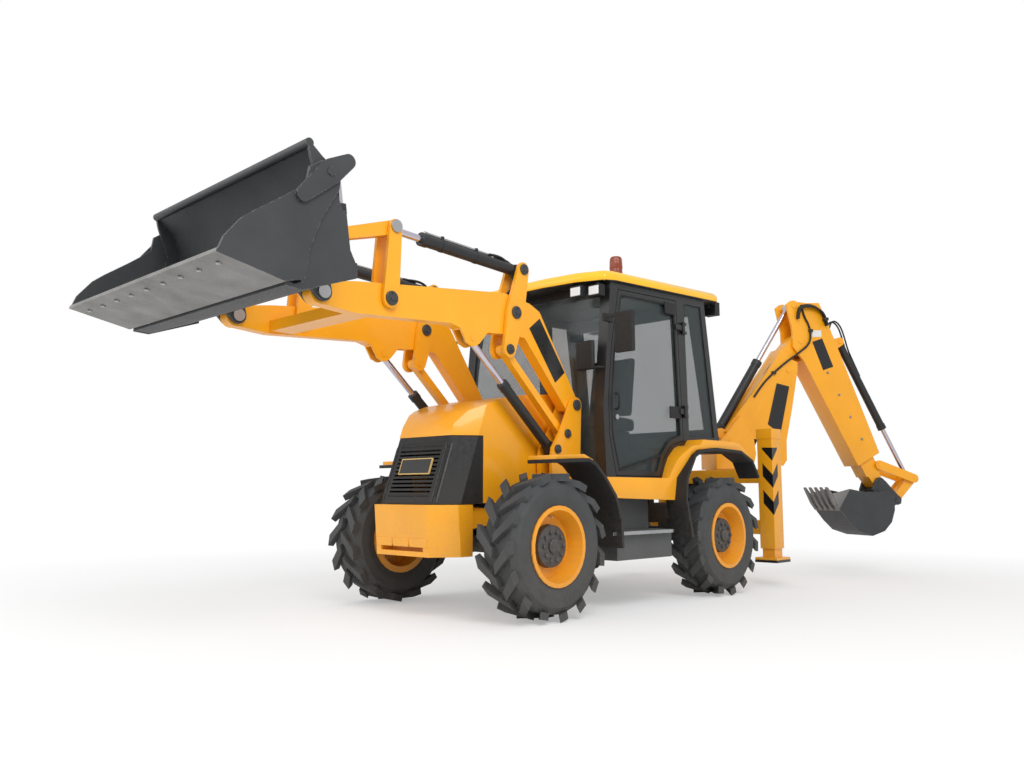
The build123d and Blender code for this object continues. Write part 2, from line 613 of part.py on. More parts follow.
# ---------------------------------------------------------------- painted panels: sills, rear arches and front fender tops
PANEL = 28.0
ARCH_Y = 940.0
SILL_Y = 815.0
SILL = (822.0, 976.0)
ARCH_TOP = [(-505, 1110), (-450, 1190), (-300, 1285), (-180, 1300), (300, 1300), (345, 1253), (450, 1245), (500, 1225), (550, 1185),
            (600, 1140), (640, 1070), (685, SILL[1]), (1470, SILL[1]), (1500, 930), (1500, SILL[0])]
ARCH_BOTTOM = shifted(REAR_FENDER[1:8], -2 * SEAT_GAP)
with BuildPart() as bodywork:
    add(nose.part)
    middle = (CAB_HALF + SEAT_GAP + ARCH_Y) / 2
    for hand in (1, -1):
        slab(ARCH_TOP + ARCH_BOTTOM, side(hand * middle), ARCH_Y - CAB_HALF - SEAT_GAP)
        plan = [(1700, hand * SILL_Y), (760, hand * SILL_Y), (500, hand * ARCH_Y), (500, hand * 1100), (1700, hand * 1100)]
        with BuildSketch(level(700)) as outside:
            with BuildLine():
                Polyline(*plan, close=True)
            make_face()
        extrude(outside.sketch, amount=700, mode=Mode.SUBTRACT)
        front = shifted(FRONT_FENDER[:5], -2 * SEAT_GAP)
        slab(strip(front, -PANEL), side(hand * 825), 250)
keep(bodywork.part, "bodywork")

# ---------------------------------------------------------------- step and tank boxes
with BuildPart() as step_boxes:
    for hand in (1, -1):
        inside = sorted((hand * (RAIL_Y + RAIL_WIDTH / 2 + SEAT_GAP), hand * 680))
        outside = sorted((hand * 670, hand * 900))
        block((745, 1470), inside, (360, 810))
        block((745, 1450), outside, (360, 560))
        tread = sorted((hand * 690, hand * 950))
        block((780, 1385), tread, (550, 575))
keep(step_boxes.part, "step_boxes")

# ---------------------------------------------------------------- rear frame with the stabiliser casings
FRAME_REAR = -1100.0
LEG_Y = 830.0
LEG_X = -1030.0
LEG_HALF_X = 88.0
LEG_HALF_Y = 75.0
LEG_WALL = 14.0
with BuildPart() as rear_frame:
    block((CHASSIS_REAR - 150, CHASSIS_REAR), (-760, 760), (470, 600))
    block((CHASSIS_REAR - 150, CHASSIS_REAR), (-760, 760), (950, 1080))
    for y in (-RAIL_Y, RAIL_Y):
        block((CHASSIS_REAR - 130, CHASSIS_REAR), (y - 60, y + 60), (590, 960))
    for hand in (1, -1):
        block((LEG_X - LEG_HALF_X, LEG_X + LEG_HALF_X), (hand * LEG_Y - LEG_HALF_Y, hand * LEG_Y + LEG_HALF_Y), (340, 1370))
        block((LEG_X - LEG_HALF_X - 6, LEG_X + LEG_HALF_X + 6), (hand * LEG_Y - LEG_HALF_Y - 6, hand * LEG_Y + LEG_HALF_Y + 6), (1365, 1460))
        cavity_x = LEG_HALF_X - LEG_WALL
        cavity_y = LEG_HALF_Y - LEG_WALL
        block((LEG_X - cavity_x, LEG_X + cavity_x), (hand * LEG_Y - cavity_y, hand * LEG_Y + cavity_y), (300, 1400), Mode.SUBTRACT)
keep(rear_frame.part, "rear_frame")

for place, hand in (("left", 1), ("right", -1)):
    with BuildPart() as stabiliser:
        inner_x = LEG_HALF_X - LEG_WALL - SEAT_GAP
        inner_y = LEG_HALF_Y - LEG_WALL - SEAT_GAP
        middle = hand * LEG_Y
        block((LEG_X - inner_x, LEG_X + inner_x), (middle - inner_y, middle + inner_y), (260, 1330))
        block((LEG_X - 130, LEG_X + 130), (middle - 110, middle + 110), (215, 260))
        disc((LEG_X, 300), 40, side(middle), 2 * inner_y)
    keep(stabiliser.part, f"stabiliser_{place}")

# ---------------------------------------------------------------- carriage on the rear frame
CARRIAGE_FRONT = FRAME_REAR - SEAT_GAP
CARRIAGE_REAR = -1150.0
ARM_LOW = (550.0, 625.0)
ARM_HIGH = (1005.0, 1080.0)
SLEW_PIN = 34.0
with BuildPart() as carriage:
    block((CARRIAGE_REAR, CARRIAGE_FRONT), (SLEW_Y - 230, SLEW_Y + 230), (480, 1070))
    for low, high in (ARM_LOW, ARM_HIGH):
        with BuildSketch(level(low)) as arm:
            with Locations((SLEW_X, SLEW_Y)):
                round_face(75)
            with Locations(((SLEW_X + CARRIAGE_REAR) / 2, SLEW_Y)):
                Rectangle(CARRIAGE_REAR - SLEW_X, 150)
        extrude(arm.sketch, amount=high - low)
        with BuildSketch(level(low - 10)) as bore:
            with Locations((SLEW_X, SLEW_Y)):
                Circle(SLEW_PIN + PIN_CLEARANCE)
        extrude(bore.sketch, amount=high - low + 20, mode=Mode.SUBTRACT)
keep(carriage.part, "carriage")

# ---------------------------------------------------------------- kingpost
EAR_GAP = 145.0            # inner face of each ear from the backhoe's middle
EAR_PLATE = 30.0
with BuildPart() as kingpost:
    with BuildSketch(level(ARM_LOW[1] + RUN_CLEARANCE)) as post:
        with Locations((SLEW_X, SLEW_Y)):
            round_face(74)
    extrude(post.sketch, amount=ARM_HIGH[0] - ARM_LOW[1] - 2 * RUN_CLEARANCE)
    with BuildSketch(level(ARM_LOW[0] - 10)) as pin:
        with Locations((SLEW_X, SLEW_Y)):
            Circle(SLEW_PIN)
    extrude(pin.sketch, amount=ARM_HIGH[1] - ARM_LOW[0] + 20)
    web = [(88, ARM_LOW[1] + 15), (200, ARM_LOW[1] + 15), (505, 1130), (530, 1190), (505, 1240), (300, 1290), (88, 1290)]
    slab(web, slewed(0), 180)
    slab([(0, ARM_LOW[1] + 15), (120, ARM_LOW[1] + 15), (120, ARM_HIGH[0] - RUN_CLEARANCE), (0, ARM_HIGH[0] - RUN_CLEARANCE)], slewed(0), 120)
    disc(BOOM_RAM_BASE, 52, slewed(0), 180)
    slab([(400, 1100), (560, 1100), (560, 1290), (400, 1310)], slewed(0), 116, Mode.SUBTRACT)
    disc(BOOM_RAM_BASE, 30, slewed(0), 180)
    slab([(88, 1100), (170, 1100), (170, 1330), (88, 1330)], slewed(0), 2 * (EAR_GAP + EAR_PLATE))
    for hand in (1, -1):
        plane = slewed(hand * (EAR_GAP + EAR_PLATE / 2))
        slab([(88, 1100), (440, 1110), (520, 1180), (540, 1260), (518, 1425), (377, 1660), (200, 1450), (88, 1330)], plane, EAR_PLATE)
        disc(BOOM_FOOT, 86, plane, EAR_PLATE)
    disc(BOOM_FOOT, 32, slewed(0), 2 * (EAR_GAP + EAR_PLATE) + 12)
keep(kingpost.part, "kingpost")

# ---------------------------------------------------------------- boom
BOOM_HALF = 125.0
HEAD_HALF = 92.0
HEAD_CLEAR = 235.0                     # the dipper's plates sweep inside this radius
RAM_GROOVE = 62.0
DIPPER_RAM_CROWDED = (1197.0, 2867.0)  # its eye with the dipper drawn in
BOOM_PLATE = 22.0
BOOM_LEFT = [(225, 1495), (443, 1772), (762, 2165), (990, 2487)]
BOOM_RIGHT = [(1095, 2170), (1010, 1750), (930, 1410), (925, 1200), (880, 1140), (830, 1165), (720, 1400), (450, 1430), (345, 1340)]
with BuildPart() as boom:
    slab(BOOM_LEFT + [(1060, 2400), (1098, 2330)] + BOOM_RIGHT, slewed(0), 2 * BOOM_HALF)
    disc(BOOM_FOOT, 80, slewed(0), 2 * BOOM_HALF)
    cavity = [(250, 1395), (560, 1820), (830, 2150), (930, 2290), (1075, 2230), (1085, 2160), (960, 1700), (1000, 1100), (400, 1000)]
    slab(cavity, slewed(0), 2 * (BOOM_HALF - BOOM_PLATE), Mode.SUBTRACT)
    disc(BOOM_FOOT, 80, slewed(0), 2 * BOOM_HALF)
    disc(DIPPER_PIVOT, HEAD_CLEAR, slewed(0), 2 * BOOM_HALF + 10, Mode.SUBTRACT)
    lobes([((945, 2300), 60), (DIPPER_PIVOT, 85)], slewed(0), 2 * HEAD_HALF)
    for eye in (DIPPER_RAM_EYE, DIPPER_RAM_CROWDED):
        groove = [(DIPPER_RAM_BASE, RAM_GROOVE), (between(DIPPER_RAM_BASE, eye, 0.6), RAM_GROOVE)]
        lobes(groove, slewed(0), 2 * RAM_GROOVE, Mode.SUBTRACT)
    for hand in (1, -1):
        lobes([((250, 1440), 60), (DIPPER_RAM_BASE, 48)], slewed(hand * (RAM_GROOVE + 15)), 30)
    disc(DIPPER_RAM_BASE, BACKHOE_PIN, slewed(0), 180)
    disc(BOOM_FOOT, 32 + PIN_CLEARANCE, slewed(0), 400, Mode.SUBTRACT)
    disc(DIPPER_PIVOT, 30 + PIN_CLEARANCE, slewed(0), 400, Mode.SUBTRACT)
    for hand in (1, -1):
        disc(BOOM_RAM_EYE, BACKHOE_PIN, slewed(hand * (BOOM_HALF + 8 + 56) / 2), BOOM_HALF + 8 - 56)
keep(boom.part, "boom")

# ---------------------------------------------------------------- dipper: outer box and sliding inner box
slope_u = (cos(radians(DIPPER_SLOPE)), sin(radians(DIPPER_SLOPE)))
slope_v = (-slope_u[1], slope_u[0])


def on_dipper(u, v):
    """Point at u down the dipper's front wall and v out from it."""
    return (DIPPER_HEEL[0] + u * slope_u[0] + v * slope_v[0], DIPPER_HEEL[1] + u * slope_u[1] + v * slope_v[1])


DIPPER_HALF = 125.0
DIPPER_LENGTH = 1288.0
INNER_HALF = 92.0
INNER_FRONT = 50.0
INNER_BACK = 236.0
PAD_CORNERS = [(DIPPER_LENGTH - 60, 60), (DIPPER_LENGTH - 60, 226), (DIPPER_LENGTH, 226), (DIPPER_LENGTH, 60)]
with BuildPart() as dipper:
    outline = [(990, 2880), (1040, 2920), (1230, 2905), (1385, 2915), (1475, 2720), (1700, 2165), on_dipper(DIPPER_LENGTH, 307), on_dipper(DIPPER_LENGTH, 0),
               DIPPER_HEEL, (1120, 2330), (1050, 2420), (1050, 2600)]
    slab(outline, slewed(0), 2 * DIPPER_HALF)
    disc(DIPPER_PIVOT, 92, slewed(0), 2 * DIPPER_HALF)
    disc(DIPPER_RAM_EYE, 62, slewed(0), 2 * DIPPER_HALF)
    slot = [(800, 2000), (1120, 2200), (1215, 2345), (1262, 2483), (1240, 2640), (1190, 3000), (800, 3000)]
    slab(slot, slewed(0), 2 * (HEAD_HALF + RUN_CLEARANCE), Mode.SUBTRACT)
    bay = [on_dipper(-45, 34), on_dipper(-45, INNER_BACK + 8), on_dipper(1500, INNER_BACK + 8), on_dipper(1500, INNER_FRONT - 8), on_dipper(150, INNER_FRONT - 8)]
    slab(bay, slewed(0), 2 * (INNER_HALF + 4), Mode.SUBTRACT)
    for off in (INNER_HALF + SEAT_GAP + 3, -INNER_HALF - SEAT_GAP - 3):
        pad = [on_dipper(u, v) for u, v in PAD_CORNERS]
        slab(pad, slewed(off), 6)
    for inner, outer in ((INNER_BACK + SEAT_GAP, INNER_BACK + 10), (INNER_FRONT - 10, INNER_FRONT - SEAT_GAP)):
        pad = [on_dipper(DIPPER_LENGTH - 60, inner), on_dipper(DIPPER_LENGTH - 60, outer), on_dipper(DIPPER_LENGTH, outer), on_dipper(DIPPER_LENGTH, inner)]
        slab(pad, slewed(0), 2 * INNER_HALF)
    back_slot = [on_dipper(-90, INNER_BACK), on_dipper(-90, 700), on_dipper(800, 700), on_dipper(800, INNER_BACK)]
    slab(back_slot, slewed(0), 90, Mode.SUBTRACT)
    disc(DIPPER_PIVOT, 30, slewed(0), 2 * DIPPER_HALF + 14)
    for hand in (1, -1):
        disc(DIPPER_RAM_EYE, BACKHOE_PIN, slewed(hand * (DIPPER_HALF + 7 + 56) / 2), DIPPER_HALF + 7 - 56)
keep(dipper.part, "dipper")

with BuildPart() as dipper_inner:
    outline = [on_dipper(0, INNER_FRONT), on_dipper(0, INNER_BACK), on_dipper(1450, INNER_BACK), on_dipper(1500, 200), on_dipper(1450, INNER_FRONT)]
    slab(outline, slewed(0), 2 * INNER_HALF)
    lobes([(on_dipper(1420, 145), 80), (TOOL_PIVOT, 55)], slewed(0), 2 * INNER_HALF)
    lobes([(on_dipper(25, INNER_BACK - 60), 60), (on_dipper(60, INNER_BACK), 50), (BUCKET_RAM_BASE, 48)], slewed(0), 70)
    slab([on_dipper(-80, 400), on_dipper(-80, 700), on_dipper(260, 700), on_dipper(60, 500)], slewed(0), 36, Mode.SUBTRACT)
    disc(BUCKET_RAM_BASE, BACKHOE_PIN, slewed(0), 84)
    disc(TOOL_PIVOT, 28 + PIN_CLEARANCE, slewed(0), 300, Mode.SUBTRACT)
    disc(LEVER_PIN, 26, slewed(0), 2 * INNER_HALF + 74)
keep(dipper_inner.part, "dipper_inner")

# ---------------------------------------------------------------- tipping lever and link
with BuildPart() as tipping_lever:
    for hand in (1, -1):
        plane = slewed(hand * (INNER_HALF + 20))
        lobes([(LEVER_PIN, 48), (KNUCKLE_PIN, 46)], plane, 26)
        disc(LEVER_PIN, 26 + PIN_CLEARANCE, plane, 60, Mode.SUBTRACT)
        disc(KNUCKLE_PIN, BACKHOE_PIN, slewed(hand * (INNER_HALF + 35 + 30) / 2), INNER_HALF + 35 - 30)
keep(tipping_lever.part, "tipping_lever")

with BuildPart() as tipping_link:
    for hand in (1, -1):
        plane = slewed(hand * 68)
        lobes([(KNUCKLE_PIN, 46), (TOOL_EAR, 46)], plane, 26)
    web = [(2330, 820), (2440, 950), (2400, 985), (2290, 855)]
    slab(web, slewed(0), 136)
    disc(KNUCKLE_PIN, BACKHOE_PIN + PIN_CLEARANCE, slewed(0), 300, Mode.SUBTRACT)
keep(tipping_link.part, "tipping_link")

# ---------------------------------------------------------------- backhoe bucket
TOOL_HALF = 230.0
TEETH = 5
with BuildPart() as backhoe_bucket:
    shell_out = [(1455, 690), (1560, 560), (1665, 460), (1842, 405), (1991, 455), (2083, 549), (2127, 675), (2130, 800), (2060, 868),
                 (1772, 866), (1592, 898), (1374, 845)]
    shell_in = [(1380, 690), (1468, 700), (1573, 572), (1674, 477), (1842, 424), (1980, 470), (2067, 559), (2108, 678), (2111, 790),
                (2050, 846), (1960, 846), (1900, 1100), (1300, 1100)]
    slab(shell_out, slewed(0), 2 * TOOL_HALF)
    slab(shell_in, slewed(0), 2 * (TOOL_HALF - SHEET), Mode.SUBTRACT)
    for hand in (1, -1):
        slab([(1930, 850), (2160, 850), (2290, 740), (2300, 800), (2250, 840), (2110, 985), (2043, 1024), (1985, 985)], slewed(hand * 110), 26)
        disc(TOOL_PIVOT, 60, slewed(hand * 110), 26)
        disc(TOOL_EAR, 50, slewed(hand * 110), 26)
        slab([(2060, 640), (2300, 770), (2160, 900), (2060, 860)], slewed(hand * 110), 26)
    slab(shell_in, slewed(0), 2 * (TOOL_HALF - SHEET), Mode.SUBTRACT)
    disc(TOOL_PIVOT, 28, slewed(0), 2 * 110 + 40)
    for hand in (1, -1):
        disc(TOOL_EAR, BACKHOE_PIN, slewed(hand * 112), 40)
    for tooth in range(TEETH):
        off = (tooth - (TEETH - 1) / 2) * 2 * (TOOL_HALF - 28) / (TEETH - 1)
        slab([(1322, 912), (1330, 918), (1480, 720), (1500, 665), (1455, 672), (1400, 745)], slewed(off), 44)
keep(backhoe_bucket.part, "backhoe_bucket")

# ---------------------------------------------------------------- backhoe rams: barrels and rods
# name, base pin, rod eye, barrel length, rod length, barrel radius, rod radius, eye width
BACKHOE_RAMS = [
    ("boom_ram", BOOM_RAM_BASE, BOOM_RAM_EYE, 640, 660, 52, 28, 100),
    ("dipper_ram", DIPPER_RAM_BASE, DIPPER_RAM_EYE, 930, 820, 48, 26, 100),
    ("bucket_ram", BUCKET_RAM_BASE, KNUCKLE_PIN, 1080, 900, 42, 24, 32),
]
for name, base, eye, tube, reach, outer, shaft, width in BACKHOE_RAMS:
    pin = 30.0 if name == "boom_ram" else BACKHOE_PIN
    with BuildPart() as ram:
        barrel(slewed(0), base, eye, tube, outer, shaft + 0.6, pin, width)
    keep(ram.part, f"{name}_barrel")
    with BuildPart() as ram:
        rod(slewed(0), base, eye, reach, shaft, BACKHOE_PIN, width)
    keep(ram.part, f"{name}_rod")

# ---------------------------------------------------------------- loader arms
# pocket for the lift ram's rod, open below, and (beside it) one for the stay link's end when the arms are low
CROSS_X = (3402.0, 3572.0)          # the tube that joins the arms, clear of the cranks at full dump
CROSS_Z = (1962.0, 2036.0)
LIFT_SLOT = [(2440, 1700), (2440, 1990), (2470, 2060), (2590, 2060), (2700, 1960), (2700, 1700)]
with BuildPart() as loader_arms:
    outline = [(3860, 2100), (3567, 2148), (3300, 2178), (2272, 2288), (2007, 2251), (1897, 2204), (1480, 1588), (1590, 1480), (2060, 1985),
               (2251, 1990), (2440, 1975), (2520, 1885), (2578, 1861), (2640, 1880), (2700, 1975), (2782, 1996), (3562, 1949), (3800, 1968)]
    for hand in (1, -1):
        plane = side(hand * ARM_Y)
        slab(outline, plane, ARM_WIDTH)
        disc(ARM_PIVOT, 60, plane, ARM_WIDTH)
        disc(BUCKET_PIVOT, 72, plane, ARM_WIDTH)
        disc(LIFT_EYE, 62, plane, ARM_WIDTH)
        disc(LIFT_EYE, LOADER_PIN, plane, ARM_WIDTH + 8)
        slab(LIFT_SLOT, plane, 60, Mode.SUBTRACT)
        lobes([((2414, 1992), 50), ((2270, 1870), 50)], plane, 70, Mode.SUBTRACT)
        disc(LEVER_PIVOT, LOADER_PIN, plane, ARM_WIDTH + 2 * (PLATE + RUN_CLEARANCE) + 10)
        for point, pin in ((ARM_PIVOT, LOADER_PIN), (CRANK_PIVOT, LOADER_PIN), (BUCKET_PIVOT, BUCKET_PIN)):
            disc(point, pin + PIN_CLEARANCE, plane, 200, Mode.SUBTRACT)
    block(CROSS_X, (-ARM_Y, ARM_Y), CROSS_Z)
keep(loader_arms.part, "loader_arms")

# ---------------------------------------------------------------- levers, stay links, cranks and tilt links
FORK_Y = 36.0
FORK_PLATE = 18.0
with BuildPart() as levers:
    for hand in (1, -1):
        for across in (-PLATE_Y, PLATE_Y):
            plane = side(hand * ARM_Y + across)
            lobes([(LEVER_TOP, 55), (LEVER_PIVOT, 88), (LEVER_FOOT, 60)], plane, PLATE)
            for point in (LEVER_PIVOT, LEVER_TOP):
                disc(point, LOADER_PIN + PIN_CLEARANCE, plane, 2 * PLATE, Mode.SUBTRACT)
            disc(LEVER_FOOT, LOADER_PIN, plane, PLATE + 10)
keep(levers.part, "levers")

with BuildPart() as stay_links:
    for hand in (1, -1):
        plane = side(hand * ARM_Y)
        lobes([(STAY_PIVOT, 28), (LEVER_FOOT, 28)], plane, 60)
        for point in (STAY_PIVOT, LEVER_FOOT):
            disc(point, 42, plane, 60)
        disc(STAY_PIVOT, LOADER_PIN + PIN_CLEARANCE, plane, 200, Mode.SUBTRACT)
keep(stay_links.part, "stay_links")

HEAD_Y = PLATE_Y + PLATE / 2 + SEAT_GAP + PIN_HEAD_WIDTH / 2      # a pin head's middle out from the arm's
with BuildPart() as crank_pins:
    for hand in (1, -1):
        disc(CRANK_PIVOT, LOADER_PIN, side(hand * ARM_Y), ARM_WIDTH + 2 * (PLATE + RUN_CLEARANCE) + 10)
keep(crank_pins.part, "crank_pins")

with BuildPart() as tilt_base_pins:
    for hand in (1, -1):
        disc(LEVER_TOP, LOADER_PIN, side(hand * ARM_Y), 2 * PLATE_Y + PLATE + 10)
keep(tilt_base_pins.part, "tilt_base_pins")

with BuildPart() as bucket_pins:
    for hand in (1, -1):
        disc(BUCKET_PIVOT, BUCKET_PIN, side(hand * ARM_Y), 2 * HEAD_Y)
        for across in (-HEAD_Y, HEAD_Y):
            disc(BUCKET_PIVOT, PIN_HEAD, side(hand * ARM_Y + across), PIN_HEAD_WIDTH)
keep(bucket_pins.part, "bucket_pins")

with BuildPart() as cranks:
    for hand in (1, -1):
        for across in (-PLATE_Y, PLATE_Y):
            plane = side(hand * ARM_Y + across)
            lobes([(CRANK_PIVOT, 62), (CRANK_TOP, 48)], plane, PLATE)
            for point, pin in ((CRANK_PIVOT, LOADER_PIN), (CRANK_TOP, BUCKET_PIN)):
                disc(point, pin + PIN_CLEARANCE, plane, 2 * PLATE, Mode.SUBTRACT)
keep(cranks.part, "cranks")

with BuildPart() as link_pins:
    for hand in (1, -1):
        for across in (-1, 1):
            inner = FORK_Y - FORK_PLATE / 2
            disc(CRANK_TOP, BUCKET_PIN, side(hand * ARM_Y + across * (inner + HEAD_Y) / 2), HEAD_Y - inner)
            disc(CRANK_TOP, PIN_HEAD, side(hand * ARM_Y + across * HEAD_Y), PIN_HEAD_WIDTH)
keep(link_pins.part, "link_pins")

with BuildPart() as tilt_links:
    for hand in (1, -1):
        for across in (-FORK_Y, FORK_Y):
            plane = side(hand * ARM_Y + across)
            lobes([(CRANK_TOP, 46), (BUCKET_TOP_PIN, 32)], plane, FORK_PLATE)
            disc(CRANK_TOP, BUCKET_PIN + PIN_CLEARANCE, plane, 2 * FORK_PLATE, Mode.SUBTRACT)
        web = [(between(CRANK_TOP, BUCKET_TOP_PIN, share), 30) for share in (0.3, 0.7)]
        lobes(web, side(hand * ARM_Y), 2 * FORK_Y)
keep(tilt_links.part, "tilt_links")

# ---------------------------------------------------------------- loader rams, a pair in each node
# name, base pin, rod eye, barrel length, rod length, barrel radius, rod radius, eye width, side
LOADER_RAMS = [
    ("lift_ram", LIFT_BASE, LIFT_EYE, 690, 700, 38, 24, 50, ARM_Y, LOADER_PIN),
    ("tilt_ram", LEVER_TOP, CRANK_TOP, 930, 760, 42, 24, 44, ARM_Y, LOADER_PIN),
    ("clam_ram", CLAM_BASE, JAW_LEVER_PIN, 340, 310, 30, 18, 40, CLAM_Y, 20.0),
]
for name, base, eye, tube, reach, outer, shaft, width, y, pin in LOADER_RAMS:
    with BuildPart() as ram:
        for hand in (1, -1):
            barrel(side(hand * y), base, eye, tube, outer, shaft + 0.6, pin, width)
    keep(ram.part, f"{name}_barrels")
    with BuildPart() as ram:
        for hand in (1, -1):
            rod(side(hand * y), base, eye, reach, shaft, pin, width)
    keep(ram.part, f"{name}_rods")

# ---------------------------------------------------------------- loader bucket: back section and jaw
BACK_PATH = [(4190, 2760), (4050, 2650), (3965, 2430), (3935, 2210), (3897, 2100), (3920, 2030), (4195, 1925), (4300, 1930)]
BACK_SIDE = [(4190, 2740), (4060, 2665), (3979, 2409), (3932, 2414), (3899, 2198), (3850, 2110), (3850, 2045), (4195, 1922), (4300, 1928),
             (4195, 1965), (4200, 2140), (4130, 2330), (4100, 2480), (4170, 2660)]
with BuildPart() as bucket_back:
    slab(strip(BACK_PATH, SHEET), side(0), 2 * BUCKET_HALF)
    disc((4180, 2742), 26, side(0), 2 * BUCKET_HALF)
    for hand in (1, -1):
        plane = side(hand * (BUCKET_HALF - SHEET / 2))
        slab(BACK_SIDE, plane, SHEET)
        disc(JAW_PIVOT, 55, plane, SHEET)
        disc(JAW_PIVOT, 26, side(hand * (BUCKET_HALF + 15)), 66)
        for across in (-PLATE_Y, PLATE_Y):
            plane = side(hand * ARM_Y + across)
            lobes([(BUCKET_PIVOT, 58), (BUCKET_TOP_PIN, 48), ((3960, 2120), 20), ((3965, 2330), 16)], plane, PLATE)
            disc(BUCKET_PIVOT, BUCKET_PIN + PIN_CLEARANCE, plane, 2 * PLATE, Mode.SUBTRACT)
            disc(BUCKET_TOP_PIN, LOADER_PIN, side(hand * ARM_Y + across * 1.04), PLATE + 5)
        for across in (-32, 32):
            plane = side(hand * CLAM_Y + across)
            lobes([(CLAM_BASE, 34), ((3945, 2190), 15), ((3930, 2110), 15)], plane, 14)
        disc(CLAM_BASE, 20, side(hand * CLAM_Y), 84)
keep(bucket_back.part, "bucket_back")

JAW_Y = BUCKET_HALF + RUN_CLEARANCE + SHEET / 2
JAW_SIDE = [(4700, 2030), (4666, 2113), (4574, 2226), (4499, 2285), (4350, 2390), (4206, 2499), (4190, 2600), (4120, 2650), (4063, 2659),
            (3990, 2600), (3995, 2519), (4106, 2323), (4175, 2142), (4200, 1975), (4312, 1947)]
with BuildPart() as jaw:
    slab([(4705, 2026), (4700, 2046), (4312, 1975), (4314, 1943)], side(0), 2 * JAW_Y + SHEET)
    for hand in (1, -1):
        slab(JAW_SIDE, side(hand * JAW_Y), SHEET)
        plane = side(hand * (JAW_Y + SHEET))
        lobes([(JAW_LEVER_PIN, 42), (JAW_PIVOT, 70), ((4232, 2430), 42)], plane, SHEET)
        lobes([(JAW_LEVER_PIN, 42), (JAW_PIVOT, 60)], side(hand * JAW_Y), SHEET)
        disc(JAW_PIVOT, 26 + PIN_CLEARANCE, plane, 4 * SHEET, Mode.SUBTRACT)
        inner, outer = CLAM_Y + 22, JAW_Y + SHEET * 1.5
        disc(JAW_LEVER_PIN, 20, side(hand * (inner + outer) / 2), outer - inner)
keep(jaw.part, "jaw")

# ---------------------------------------------------------------- lamps, beacon and mirrors
with BuildPart() as lamps_mirrors:
    for hand in (1, -1):
        for x, y in ((1385, 700), (1440, 560)):
            mount = sorted((hand * y - 15, hand * y + 15))
            block((x - 15, x + 15), mount, (2400, 2560 - (x + 35) * 60 / 1350))
            block((x - 10, x + 50), (hand * y - 60, hand * y + 60), (2380, 2470))
        block((-360, -280), (hand * 680 - 60, hand * 680 + 60), (2480, 2600))
        block((-340, -230), (hand * 680 - 15, hand * 680 + 15), (2545, 2560 + SEAT_GAP + 210 * 60 / 1350 - SEAT_GAP))
        arm = sorted((hand * (CAB_HALF + SEAT_GAP), hand * 985))
        block((1420, 1440), arm, (2190, 2210))
        foot = sorted((hand * (CAB_HALF + SEAT_GAP), hand * (CAB_HALF + 30)))
        block((1340, 1440), foot, (2170, 2230))
        block((1410, 1450), (hand * 985 - 80, hand * 985 + 80), (1910, 2215))
    with BuildSketch(slope.offset(ROOF_THICKNESS + SEAT_GAP)) as foot:
        with Locations((880, 480)):
            round_face(66)
    extrude(foot.sketch, amount=14)
    with BuildSketch(level(2618)) as beacon:
        with Locations((860, 480)):
            round_face(60)
    extrude(beacon.sketch, amount=122, taper=3)
keep(lamps_mirrors.part, "lamps_mirrors")
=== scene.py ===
"""Looks of the backhoe loader: finishes for its solids, and the fittings that the solids leave out."""

import json
import logging
import math
from dataclasses import dataclass, field
from enum import Enum
from typing import Callable, Iterable, Sequence

import bmesh
import bpy
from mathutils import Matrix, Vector


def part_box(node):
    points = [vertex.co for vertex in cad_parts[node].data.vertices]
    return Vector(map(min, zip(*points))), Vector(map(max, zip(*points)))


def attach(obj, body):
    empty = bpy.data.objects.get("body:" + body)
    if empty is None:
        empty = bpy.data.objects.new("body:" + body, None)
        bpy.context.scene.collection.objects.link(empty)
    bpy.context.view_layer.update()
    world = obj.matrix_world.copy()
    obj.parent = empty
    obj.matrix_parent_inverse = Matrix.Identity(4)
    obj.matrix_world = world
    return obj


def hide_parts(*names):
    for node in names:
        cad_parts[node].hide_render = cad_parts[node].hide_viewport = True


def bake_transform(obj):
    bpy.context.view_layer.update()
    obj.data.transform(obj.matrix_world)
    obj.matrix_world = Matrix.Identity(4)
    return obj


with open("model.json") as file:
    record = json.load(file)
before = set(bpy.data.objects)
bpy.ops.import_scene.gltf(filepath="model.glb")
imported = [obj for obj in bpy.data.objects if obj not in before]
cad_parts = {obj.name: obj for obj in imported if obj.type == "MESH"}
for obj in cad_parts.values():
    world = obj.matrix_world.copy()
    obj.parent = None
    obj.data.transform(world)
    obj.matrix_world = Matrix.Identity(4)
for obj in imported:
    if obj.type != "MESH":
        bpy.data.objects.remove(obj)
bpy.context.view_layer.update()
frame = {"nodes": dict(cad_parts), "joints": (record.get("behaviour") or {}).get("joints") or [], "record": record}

Colour = tuple[float, float, float]
Pair = tuple[float, float]
LOG = logging.getLogger("backhoe_loader")


def screen(red: int, green: int, blue: int) -> Colour:
    """Turn a colour given as 0 to 255 on a screen into linear light.

    Args:
        red: Red, 0 to 255.
        green: Green, 0 to 255.
        blue: Blue, 0 to 255.

    Returns:
        The colour's three linear values.
    """
    values = [channel / 255 for channel in (red, green, blue)]
    linear = [v / 12.92 if v <= 0.04045 else ((v + 0.055) / 1.055) ** 2.4 for v in values]
    return (linear[0], linear[1], linear[2])


